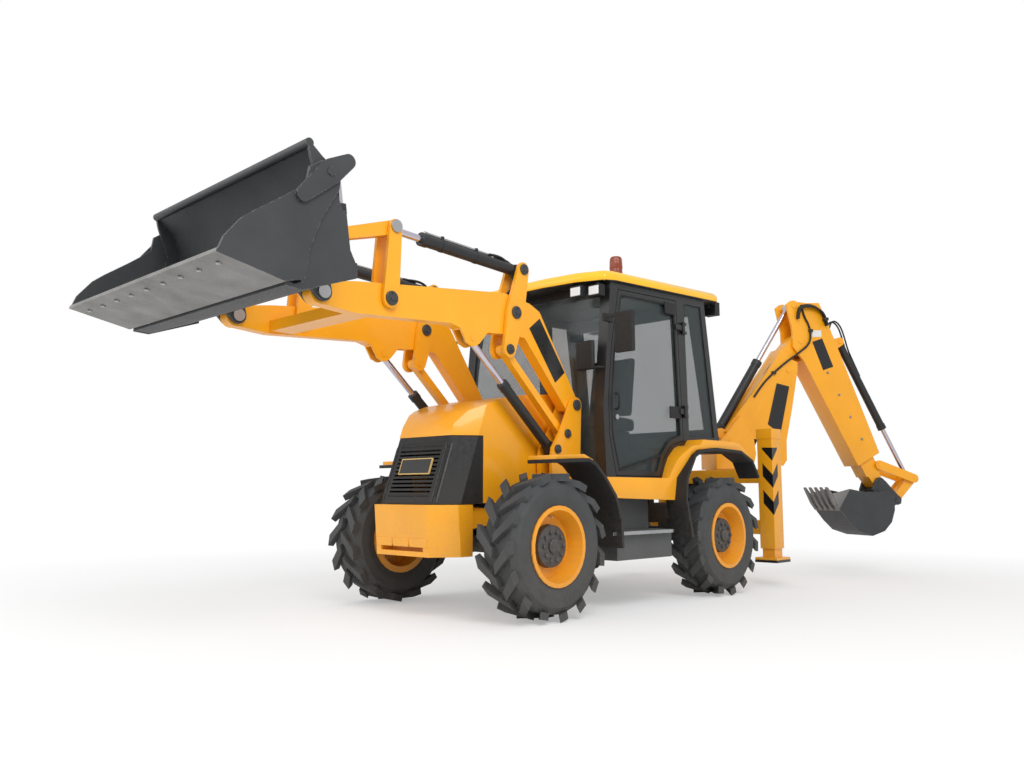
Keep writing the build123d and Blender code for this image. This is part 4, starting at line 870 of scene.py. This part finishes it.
@dataclass
class NoseFittings:
    """Rim, blank framed plate and painted highlight strips at the corners of the grille, and the bumper's raised
    panels.
    """

    top: Pair = (2.555, 1.245)
    rake: float = 195.0 / 565.0
    flat: float = 0.285
    facet: float = 160.0 / 120.0

    def _out(self, depth: float) -> Vector:
        """Step out from the grille's front."""
        return Vector((1, 0, self.rake)).normalized() * depth

    def _band(self, name: str, finish: Finish, spans: tuple[Pair, Pair], width: float, depth: float) -> None:
        """Build a raised frame on the grille's front.

        Args:
            name: The frame's name.
            finish: Its finish.
            spans: Its outer span across, then up.
            width: The band's width.
            depth: How far it stands out.
        """
        (near, far), (low, high) = spans
        stock = Stock()
        inner = (low + width, high - width)
        bars = [(near, far, low, inner[0]), (near, far, inner[1], high)]
        bars += [(near, near + width, *inner), (far - width, far, *inner)]
        for y0, y1, z0, z1 in bars:
            corners = ((y0, z0), (y1, z0), (y1, z1), (y0, z1))
            stock.prism([self._front(y, z) for y, z in corners], self._out(depth))
        stock.piece(name, finish, "hood", 0.002)

    def _front(self, y: float, z: float, out: float = 0.0) -> Vector:
        """Place a point on the grille's raked front, a little out of it."""
        back = max(abs(y) - self.flat, 0.0) * self.facet
        return LAYOUT.at(self.top[0] + (self.top[1] - z) * self.rake + out - 0.004 - back, y, z)

    def build(self) -> None:
        """Build the grille's pieces."""
        self._band("grille_rim", TRIM, ((-0.292, 0.292), (0.83, 1.19)), 0.014, 0.006)
        self._band("grille_plate_rim", PLATE_GOLD, ((-0.17, 0.17), (0.985, 1.1)), 0.007, 0.012)
        corners = ((-0.166, 0.989), (0.166, 0.989), (0.166, 1.096), (-0.166, 1.096))
        badge = [self._front(y, z) for y, z in corners]
        Stock().prism(badge, self._out(0.009)).piece("grille_blank_plate", PLATE_BLACK, "hood", 0.001)
        # Thin grey strips at the grille's corners: painted highlights where the raked front meets the side.
        lines = Stock()
        for hand in (1, -1):
            for y in (0.27, 0.302):
                foot = [self._front(hand * (y + edge), 0.79) for edge in (-0.003, 0.003)]
                head = [self._front(hand * (y + edge), 1.205) for edge in (0.003, -0.003)]
                lines.prism([*foot, *head], self._out(0.005))
        lines.piece("grille_corner_painted_highlights", HUB_GREY, "hood", 0.001)
        for number, (low, high) in enumerate(((-0.28, -0.1), (-0.09, 0.08), (0.09, 0.28)), 1):
            foot = [LAYOUT.at(2.7385 + (z - 0.42) / 0.355 * 0.03, low, z) for z in (0.485, 0.545)]
            over = Vector((0, high - low, 0))
            panel = Stock().prism([foot[0], foot[0] + over, foot[1] + over, foot[1]], Vector((0.006, 0, 0)))
            panel.piece(f"bumper_panel_{number}", BODY_YELLOW, "chassis", 0.003)
        LOG.info("nose fittings")


@dataclass
class CabFittings:
    """Seals, handles, hinge straps, lamp faces, beacon lens and mirror glass of the cab."""

    half: float = 0.78
    lamp_middle: float = 2.425
    lamp_squash: float = 0.015
    # layer, finish, back and front from the lamp's face, half width, edge radius
    lamp_layers: tuple[tuple[str, Finish, float, float, float, float], ...] = (
        ("rim", TRIM, -0.002, 0.006, 0.058, 0.002),
        ("lens", LENS, 0.002, 0.0085, 0.049, 0.003),
    )

    def build(self) -> None:
        """Build the fittings."""
        self._seals()
        self._handles()
        self._lamps()
        self._beacon()
        self._mirrors()
        LOG.info("cab fittings")

    def _seals(self) -> None:
        """Build the rubber round each door pane."""
        pane = [(1.245, 1.030), (1.325, 1.300), (1.330, 1.600), (1.285, 2.000), (1.198, 2.412)]
        pane += [(0.462, 2.445), (0.399, 1.335), (0.562, 1.290), (0.690, 1.160)]
        for side, hand in SIDES:
            y = hand * (self.half - 0.001)
            loop = [LAYOUT.at(x, y, z) for x, z in pane]
            seal = self._ring(f"door_seal_{side}", loop, 0.007)
            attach(seal, f"door_{side}")

    def _ring(self, name: str, loop: list[Vector], radius: float) -> bpy.types.Object:
        """Build a closed rubber ring.

        Args:
            name: The piece's name.
            loop: Its corners, in order.
            radius: The rubber's radius.

        Returns:
            The piece.
        """
        route: list[Vector] = []
        for before, corner, after in zip(loop[-1:] + loop[:-1], loop, loop[1:] + loop[:1]):
            to_before, to_after = before - corner, after - corner
            near = min(0.04, to_before.length / 3, to_after.length / 3)
            route += [corner + to_before.normalized() * near, corner, corner + to_after.normalized() * near]
        return hose(name, route + route[:2], radius, TRIM)

    def _handles(self) -> None:
        """Build the pull handle and lock of each door."""
        for side, hand in SIDES:
            face = hand * self.half
            points = [(1.285, 0.0, 1.50), (1.285, 0.035, 1.50), (1.287, 0.04, 1.56)]
            points += [(1.289, 0.035, 1.62), (1.289, 0.0, 1.62)]
            bow = [LAYOUT.at(x, face + hand * out, z) for x, out, z in points]
            grip = hose(f"door_grip_{side}", bow, 0.009, TRIM)
            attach(grip, f"door_{side}")
            straps = Stock()
            for x, z in ((0.45, 2.355), (0.405, 1.475)):
                near, away = sorted((face - hand * 0.001, face + hand * 0.012))
                straps.block(LAYOUT.at(x, near, z), LAYOUT.at(x + 0.15, away, z + 0.1))
            straps.piece(f"door_hinge_straps_{side}", TRIM, f"door_{side}", 0.004)
            barrel = [(-0.001, 0.02), (0.006, 0.02), (0.008, 0.016)]
            lock = Stock().lathe(barrel, LAYOUT.at(1.27, face, 1.44), Vector((0, hand, 0)), 20)
            lock.piece(f"door_lock_{side}", PIN_STEEL, f"door_{side}", 0.0005)

    def _lamps(self) -> None:
        """Build bezels and lenses over the lamps, front and rear."""
        for side, hand in SIDES:
            for number, (x, y) in enumerate(((1.385, 0.7), (1.44, 0.56)), 1):
                face = x + 0.05
                for part, finish, near, far, half, soft in self.lamp_layers:
                    name = f"work_lamp_{part}_{number}_{side}"
                    self._lamp_layer(name, finish, (face + near, face + far), hand * y, half, soft)
            low = LAYOUT.at(-0.366, hand * 0.68 - 0.05, 2.49)
            lens = Stock().block(low, LAYOUT.at(-0.358, hand * 0.68 + 0.05, 2.59))
            lens.piece(f"rear_lamp_lens_{side}", LENS, "chassis", 0.003)

    def _lamp_layer(self, name: str, finish: Finish, depth: Pair, y: float, half: float, soft: float) -> None:
        """Build one layer of a work lamp.

        Args:
            name: The layer's name.
            finish: Its finish.
            depth: Where it starts and ends along the machine.
            y: The lamp's middle across the machine.
            half: Half its width.
            soft: How far its edges are rounded.
        """
        low = LAYOUT.at(depth[0], y - half, self.lamp_middle - half + self.lamp_squash)
        high = LAYOUT.at(depth[1], y + half, self.lamp_middle + half - self.lamp_squash)
        Stock().block(low, high).piece(name, finish, "chassis", soft)

    def _beacon(self) -> None:
        """Build the tall ribbed lens on the beacon's foot."""
        profile = [(0.0, 0.053), (0.01, 0.056), (0.085, 0.052), (0.105, 0.044), (0.112, 0.025)]
        lens = Stock().lathe(profile, LAYOUT.at(0.86, 0.48, 2.735), Vector((0, 0, 1)), 32)
        lens.piece("beacon_lens", BEACON, "chassis", 0.002)

    def _mirrors(self) -> None:
        """Build the glass in the back of each mirror."""
        for side, hand in SIDES:
            y = hand * 0.985
            glass = Stock().block(LAYOUT.at(1.4065, y - 0.068, 1.925), LAYOUT.at(1.4105, y + 0.068, 2.2))
            glass.piece(f"mirror_glass_{side}", MIRROR, "chassis", 0.002)
        head = Stock().block(LAYOUT.at(1.44, 0.535, 1.8), LAYOUT.at(1.475, 0.71, 2.03))
        head.piece("pillar_mirror", TRIM, "chassis", 0.014)
        stem = [LAYOUT.at(x, y, 1.815) for x, y in ((1.38, 0.765), (1.43, 0.765), (1.462, 0.74), (1.462, 0.66))]
        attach(hose("pillar_mirror_stem", stem, 0.009, TRIM), "chassis")


@dataclass
class CabInside:
    """Padded seat with its base and control levers."""

    width: float = 0.48
    cushion_low: float = 1.4
    cushion_high: float = 1.53
    front: float = 0.82
    back: float = 0.30
    back_half: float = 0.22
    # foot and head of the back's rear face, then of its front face
    back_lean: tuple[Pair, Pair] = ((0.305, 0.235), (0.412, 0.325))

    def _pad(self, name: str, corners: Sequence[Vector], crown: float) -> bpy.types.Object:
        """Build a crowned pad between eight corners, its sides drawn in between them.

        Args:
            name: The piece's name.
            corners: Four corners below, then the four above them, in order round.
            crown: How far its top rises in the middle.

        Returns:
            The pad.
        """
        steps = 14
        mesh = bmesh.new()
        bmesh.ops.create_cube(mesh, size=2.0)
        bmesh.ops.subdivide_edges(mesh, edges=mesh.edges[:], cuts=steps, use_grid_fill=True)
        low, high = corners[:4], corners[4:]
        for vertex in mesh.verts:
            u, v, w = vertex.co
            pull = 1 - 0.035 * (1 - u * u) * (1 - abs(w)) - 0.035 * (1 - v * v) * (1 - abs(w))
            edge = max(abs(u), abs(v)) ** 6
            round_u, round_v = u * (1 - 0.05 * abs(w) ** 3 * edge), v * (1 - 0.05 * abs(w) ** 3 * edge)
            s, t = (round_u * pull + 1) / 2, (round_v * pull + 1) / 2
            floor = low[0] * (1 - s) * (1 - t) + low[1] * s * (1 - t) + low[2] * s * t + low[3] * (1 - s) * t
            top = high[0] * (1 - s) * (1 - t) + high[1] * s * (1 - t) + high[2] * s * t + high[3] * (1 - s) * t
            lift = (w + 1) / 2
            up = (top - floor).normalized()
            swell = crown * (1 - u ** 4) * (1 - v ** 4) * max(w, 0)
            channel = -0.006 * math.exp(-((abs(v) - 0.42) / 0.05) ** 2) * max(w, 0)
            vertex.co = floor.lerp(top, lift) + up * (swell + channel - 0.012 * edge * max(w, 0))
        data = bpy.data.meshes.new(name)
        bmesh.ops.recalc_face_normals(mesh, faces=mesh.faces[:])
        mesh.to_mesh(data)
        mesh.free()
        for polygon in data.polygons:
            polygon.use_smooth = True
        made = bpy.data.objects.new(name, data)
        bpy.context.scene.collection.objects.link(made)
        data.materials.append(CLOTH.material())
        round_off = made.modifiers.new("round", "SUBSURF")
        round_off.levels = 1
        round_off.render_levels = 1
        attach(made, "chassis")
        return made

    def build(self) -> None:
        """Build the seat and the controls beside it."""
        half = self.width / 2
        plan = ((self.back, -half), (self.front, -half), (self.front, half), (self.back, half))
        levels = (self.cushion_low + 0.004, self.cushion_high - 0.01)
        cushion = self._pad("seat_cushion", [LAYOUT.at(x, y, z) for z in levels for x, y in plan], 0.012)
        corners = []
        for foot, head in self.back_lean:
            for x, z, side in ((foot, 1.54, 1), (head, 2.07, 1), (head, 2.07, -1), (foot, 1.54, -1)):
                corners.append(LAYOUT.at(x, side * self.back_half, z))
        back = self._pad("seat_back", corners, 0.014)
        base = Stock()
        wedge = ((0.26, 1.2453), (0.312, 1.2453), (0.56, 1.042), (0.56, 1.4), (0.26, 1.4))
        base.prism([LAYOUT.at(x, -0.15, z) for x, z in wedge], Vector((0, 0.3, 0)))
        for y in (-0.18, 0.15):
            base.block(LAYOUT.at(0.31, y, 1.385), LAYOUT.at(0.78, y + 0.03, 1.402))
        stand = base.piece("seat_base", TRIM, "chassis", 0.003)
        for item in (cushion, back, stand):
            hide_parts("seat")
        for name, hand in SIDES:
            points = ((0.74, 0.33, 1.27), (0.745, 0.33, 1.4), (0.76, 0.32, 1.52))
            stem = [LAYOUT.at(x, hand * y, z) for x, y, z in points]
            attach(hose(f"control_lever_{name}", stem, 0.008, TRIM), "chassis")
            profile = [(0, 0.012), (0.012, 0.021), (0.035, 0.024), (0.055, 0.019), (0.064, 0.008)]
            knob = Stock().lathe(profile, LAYOUT.at(0.76, hand * 0.32, 1.515), Vector((0.08, 0, 1)), 20)
            knob.piece(f"control_knob_{name}", TRIM, "chassis", 0.0)
        LOG.info("seat and controls")


@dataclass
class BackhoeLines:
    """Hoses over the boom head and down the dipper, with screws on the dipper's side.

    Routes are (reach, height) points in the plane of the slewed backhoe.
    """

    joint_route: tuple[Pair, ...] = (
        (1.162, 2.88), (1.181, 2.766), (1.258, 2.643), (1.262, 2.469), (1.124, 2.36),
        (0.942, 2.239), (0.736, 2.074), (0.632, 1.959), (0.56, 1.86),
    )
    ram_route: tuple[Pair, ...] = (
        (1.56, 2.60), (1.575, 2.70), (1.63, 2.755), (1.71, 2.70),
        (1.76, 2.55), (1.79, 2.427), (1.855, 2.288), (1.925, 2.137),
    )
    loop_lefts: tuple[float, ...] = (0.136, 0.154, 0.172)
    joint_left: float = 0.137
    side_face: float = 0.1245

    hose_radius: float = 0.0105
    pipe_radius: float = 0.009

    def build(self) -> None:
        """Build the hoses and screws."""
        for number, left in enumerate(self.loop_lefts, 1):
            drop = 0.012 * number
            route = [(1.105, 2.72), (1.115, 2.82), (1.16, 2.885 - drop), (1.27, 2.90 - drop)]
            route += [(1.37, 2.865 - drop), (1.43, 2.77), (1.455, 2.66)]
            points = [LAYOUT.slewed(reach, left, z) for reach, z in route]
            loop = hose(f"head_loop_{number}", points, self.hose_radius)
            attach(loop, "dipper")
        joint = [LAYOUT.slewed(reach, self.joint_left, z) for reach, z in self.joint_route]
        line = hose("joint_hose", joint, self.hose_radius)
        low, high = LAYOUT.slewed(1.0, self.joint_left, 2.28), LAYOUT.slewed(1.262, self.joint_left, 2.55)
        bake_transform(line)
        for number, left in enumerate((-0.022, 0.022), 1):
            points = [LAYOUT.slewed(reach, left, z) for reach, z in self.ram_route]
            line = hose(f"bucket_ram_hose_{number}", points, self.pipe_radius)
            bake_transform(line)
        for body, places in (("boom", ((0.80, 2.125),)), ("dipper", ((1.262, 2.60), (1.44, 2.73)))):
            clamps = Stock()
            for reach, z in places:
                low = LAYOUT.slewed(reach - 0.022, self.side_face, z - 0.016)
                high = LAYOUT.slewed(reach + 0.022, self.side_face, z + 0.016)
                outline = [low, Vector((high.x, high.y, low.z)), high, Vector((low.x, low.y, high.z))]
                clamps.prism(outline, LAYOUT.left * (0.058 if reach > 1.4 else 0.028))
            clamps.piece(f"hose_clamps_{body}", FRAME_BLACK, body, 0.002)
        screws = Stock()
        slope = math.radians(-61.6)
        for step in range(4):
            along = 0.25 + step * 0.27
            reach = 1.167 + 0.10 + math.cos(slope) * along + 0.07
            z = 2.278 + 0.05 + math.sin(slope) * along + 0.04
            screws.bolt(LAYOUT.slewed(reach, self.side_face, z), LAYOUT.left, 0.02, 0.012)
        screws.piece("wear_pad_screws", ZINC, "dipper", 0.0006)
        LOG.info("backhoe lines")


@dataclass
class LegStripes:
    """Black chevrons that wrap the outer front corner of each stabiliser casing."""

    x: float = -1.03
    y: float = 0.83
    half_x: float = 0.088
    half_y: float = 0.075
    feet: tuple[float, ...] = (0.651, 0.904, 1.157)
    top: float = 1.284
    band: float = 0.122
    slope: float = 1.1
    reach: float = 0.1
    sheet: float = 0.0012
    pad: float = 0.024

    def build(self) -> None:
        """Build the stripes and the pads of both legs."""
        for side, hand in SIDES:
            stock = Stock()
            corner = Vector((self.x + self.half_x, hand * (self.y + self.half_y), 0))
            for foot in self.feet:
                self._arm(stock, corner, foot, Vector((0, -hand, 0)), Vector((1, 0, 0)))
                self._arm(stock, corner, foot, Vector((-1, 0, 0)), Vector((0, hand, 0)))
            stock.piece(f"leg_stripes_{side}", PLATE_BLACK, "chassis", 0.0)
            low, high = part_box(f"stabiliser_{side}")
            out = Vector((self.sheet, self.sheet, 0))
            pad = Stock().block(Vector(low) - out, Vector((high[0], high[1], low[2] + self.pad)) + out)
            pad.piece(f"leg_pad_{side}", PLATE_BLACK, f"stabiliser_{side}", 0.0)
        LOG.info("leg stripes and pads")

    def _arm(self, stock: Stock, corner: Vector, foot: float, along: Vector, outward: Vector) -> None:
        """Add half of a chevron, rising from the corner.

        Args:
            stock: The stock to add it to.
            corner: The casing's corner.
            foot: Height of the chevron's point.
            along: From the corner over the face.
            outward: Out of the face.
        """
        steps = [(0.0, foot), (self.reach, foot + self.reach * self.slope)]
        over = [(self.reach, min(self.top, steps[1][1] + self.band)), (0.0, min(self.top, foot + self.band))]
        base = LAYOUT.rear + corner - outward * self.sheet
        outline = [base + along * away + Vector((0, 0, z)) for away, z in steps + over]
        stock.prism(outline, outward * 2 * self.sheet)


@dataclass
class StepTreads:
    """Alloy edges on the step boxes."""

    face: float = 0.9485
    sheet: float = 0.004

    def build(self) -> None:
        """Build an edge on each step box."""
        for side, hand in SIDES:
            stock = Stock()
            near, far = sorted((hand * self.face, hand * (self.face + self.sheet)))
            stock.block(LAYOUT.at(0.80, near, 0.548), LAYOUT.at(1.56, far, 0.574))
            stock.piece(f"step_edge_{side}", TREAD, "chassis", 0.001)
        LOG.info("step treads")


@dataclass
class ShovelWear:
    """Bolted blade and wear strips of the loader shovel."""

    half: float = 0.955

    def build(self) -> None:
        """Build the strips and bolts."""
        ribs = Stock()
        for y in (-0.62, -0.2, 0.2, 0.62):
            path = [(4.04, 2.652), (3.952, 2.432), (3.922, 2.212)]
            outline = [LAYOUT.at(x, y - 0.02, z) for x, z in path]
            outline += [LAYOUT.at(x - 0.012, y - 0.02, z) for x, z in reversed(path)]
            ribs.prism(outline, Vector((0, 0.04, 0)))
        ribs.piece("shovel_back_ribs", CHARCOAL, "bucket_back", 0.002)
        bolts = Stock()
        for step in range(9):
            y = -0.84 + step * 0.21
            bolts.bolt(LAYOUT.at(4.62, y, 2.0075), Vector((-0.17, 0, -1)).normalized(), 0.026, 0.009)
        bolts.piece("blade_bolts", PIN_STEEL, "jaw", 0.001)
        LOG.info("shovel wear parts")


@dataclass
class Studio:
    """Pale floor, soft lamps and the camera."""

    camera_at: tuple[float, float, float] = (6.0812, 4.7482, 0.856)
    camera_turn: tuple[float, float, float] = (97.08, 0.0, -225.9)
    lens: float = 30.85
    sky: float = 0.75

    def build(self) -> None:
        """Build the studio round the machine."""
        self._floor()
        self._sky()
        self._lamps()
        self._camera()
        LOG.info("studio")

    def _floor(self) -> None:
        """Build a wide pale floor that keeps the machine's shadow."""
        size = 60.0
        data = bpy.data.meshes.new("studio_floor")
        corners = [(-size, -size, 0), (size, -size, 0), (size, size, 0), (-size, size, 0)]
        data.from_pydata(corners, [], [(0, 1, 2, 3)])
        floor = bpy.data.objects.new("studio_floor", data)
        bpy.context.scene.collection.objects.link(floor)
        made = bpy.data.materials.new("studio_floor_white")
        made.use_nodes = True
        graph = Graph(made.node_tree)
        matt = graph.add("ShaderNodeBsdfDiffuse")
        graph.feed(matt.inputs["Color"], (0.86, 0.86, 0.86))
        glow = graph.add("ShaderNodeEmission")
        graph.feed(glow.inputs["Color"], (1.0, 1.0, 1.0))
        graph.feed(glow.inputs["Strength"], 1.0)
        ray = graph.add("ShaderNodeLightPath")
        place = graph.add("ShaderNodeTexCoord")
        length = graph.add("ShaderNodeVectorMath")
        length.operation = "LENGTH"
        graph.feed(length.inputs[0], place.outputs["Object"])
        share = graph.spread(length.outputs["Value"], (3.2, 7.5), (0.35, 1.0))
        blend = graph.add("ShaderNodeMixShader")
        graph.feed(blend.inputs[0], graph.sum("MULTIPLY", ray.outputs["Is Camera Ray"], share))
        graph.feed(blend.inputs[1], matt.outputs[0])
        graph.feed(blend.inputs[2], glow.outputs[0])
        output = graph.add("ShaderNodeOutputMaterial")
        graph.feed(output.inputs["Surface"], blend.outputs[0])
        data.materials.append(made)

    def _sky(self) -> None:
        """Light the room evenly, and show white behind the machine."""
        world = bpy.data.worlds.new("studio_room")
        bpy.context.scene.world = world
        world.use_nodes = True
        graph = Graph(world.node_tree)
        ray = graph.add("ShaderNodeLightPath")
        seen = graph.sum("MAXIMUM", ray.outputs["Is Camera Ray"], ray.outputs["Is Transmission Ray"])
        back = graph.add("ShaderNodeBackground")
        graph.feed(back.inputs["Color"], (1.0, 1.0, 1.0))
        strength = graph.spread(seen, (0.0, 1.0), (self.sky, 1.0))
        graph.feed(back.inputs["Strength"], strength)
        output = graph.add("ShaderNodeOutputWorld")
        graph.feed(output.inputs["Surface"], back.outputs[0])

    def _lamps(self) -> None:
        """Hang the soft lamps."""
        lamps = (("key", (5.0, 7.0, 8.0), 5.0, 520.0), ("fill", (8.5, -3.0, 5.0), 6.0, 220.0))
        for name, place, size, power in lamps:
            data = bpy.data.lights.new(name, "AREA")
            data.size = size
            data.energy = power
            lamp = bpy.data.objects.new(name, data)
            lamp.location = place
            lamp.rotation_euler = (Vector((0, 0, 1.2)) - Vector(place)).to_track_quat("-Z", "Y").to_euler()
            bpy.context.scene.collection.objects.link(lamp)

    def _camera(self) -> None:
        """Set the camera."""
        data = bpy.data.cameras.new("view")
        data.lens = self.lens
        data.sensor_width = 36.0
        camera = bpy.data.objects.new("view", data)
        camera.location = self.camera_at
        camera.rotation_euler = tuple(math.radians(angle) for angle in self.camera_turn)
        bpy.context.scene.collection.objects.link(camera)
        scene = bpy.context.scene
        scene.camera = camera
        scene.render.resolution_x = 1024
        scene.render.resolution_y = 768
        scene.view_settings.view_transform = "Standard"


def main() -> None:
    """Build the machine's looks in order."""
    logging.basicConfig(level=logging.INFO, format="%(name)s: %(message)s")
    for assembly in (
        SolidFinishes(),
        WheelFittings(),
        LoaderPins(),
        LoaderLines(),
        BlankPlates(),
        NoseFittings(),
        CabFittings(),
        CabInside(),
        BackhoeLines(),
        LegStripes(),
        StepTreads(),
        ShovelWear(),
        Studio(),
    ):
        assembly.build()


if __name__ == "__main__":
    main()
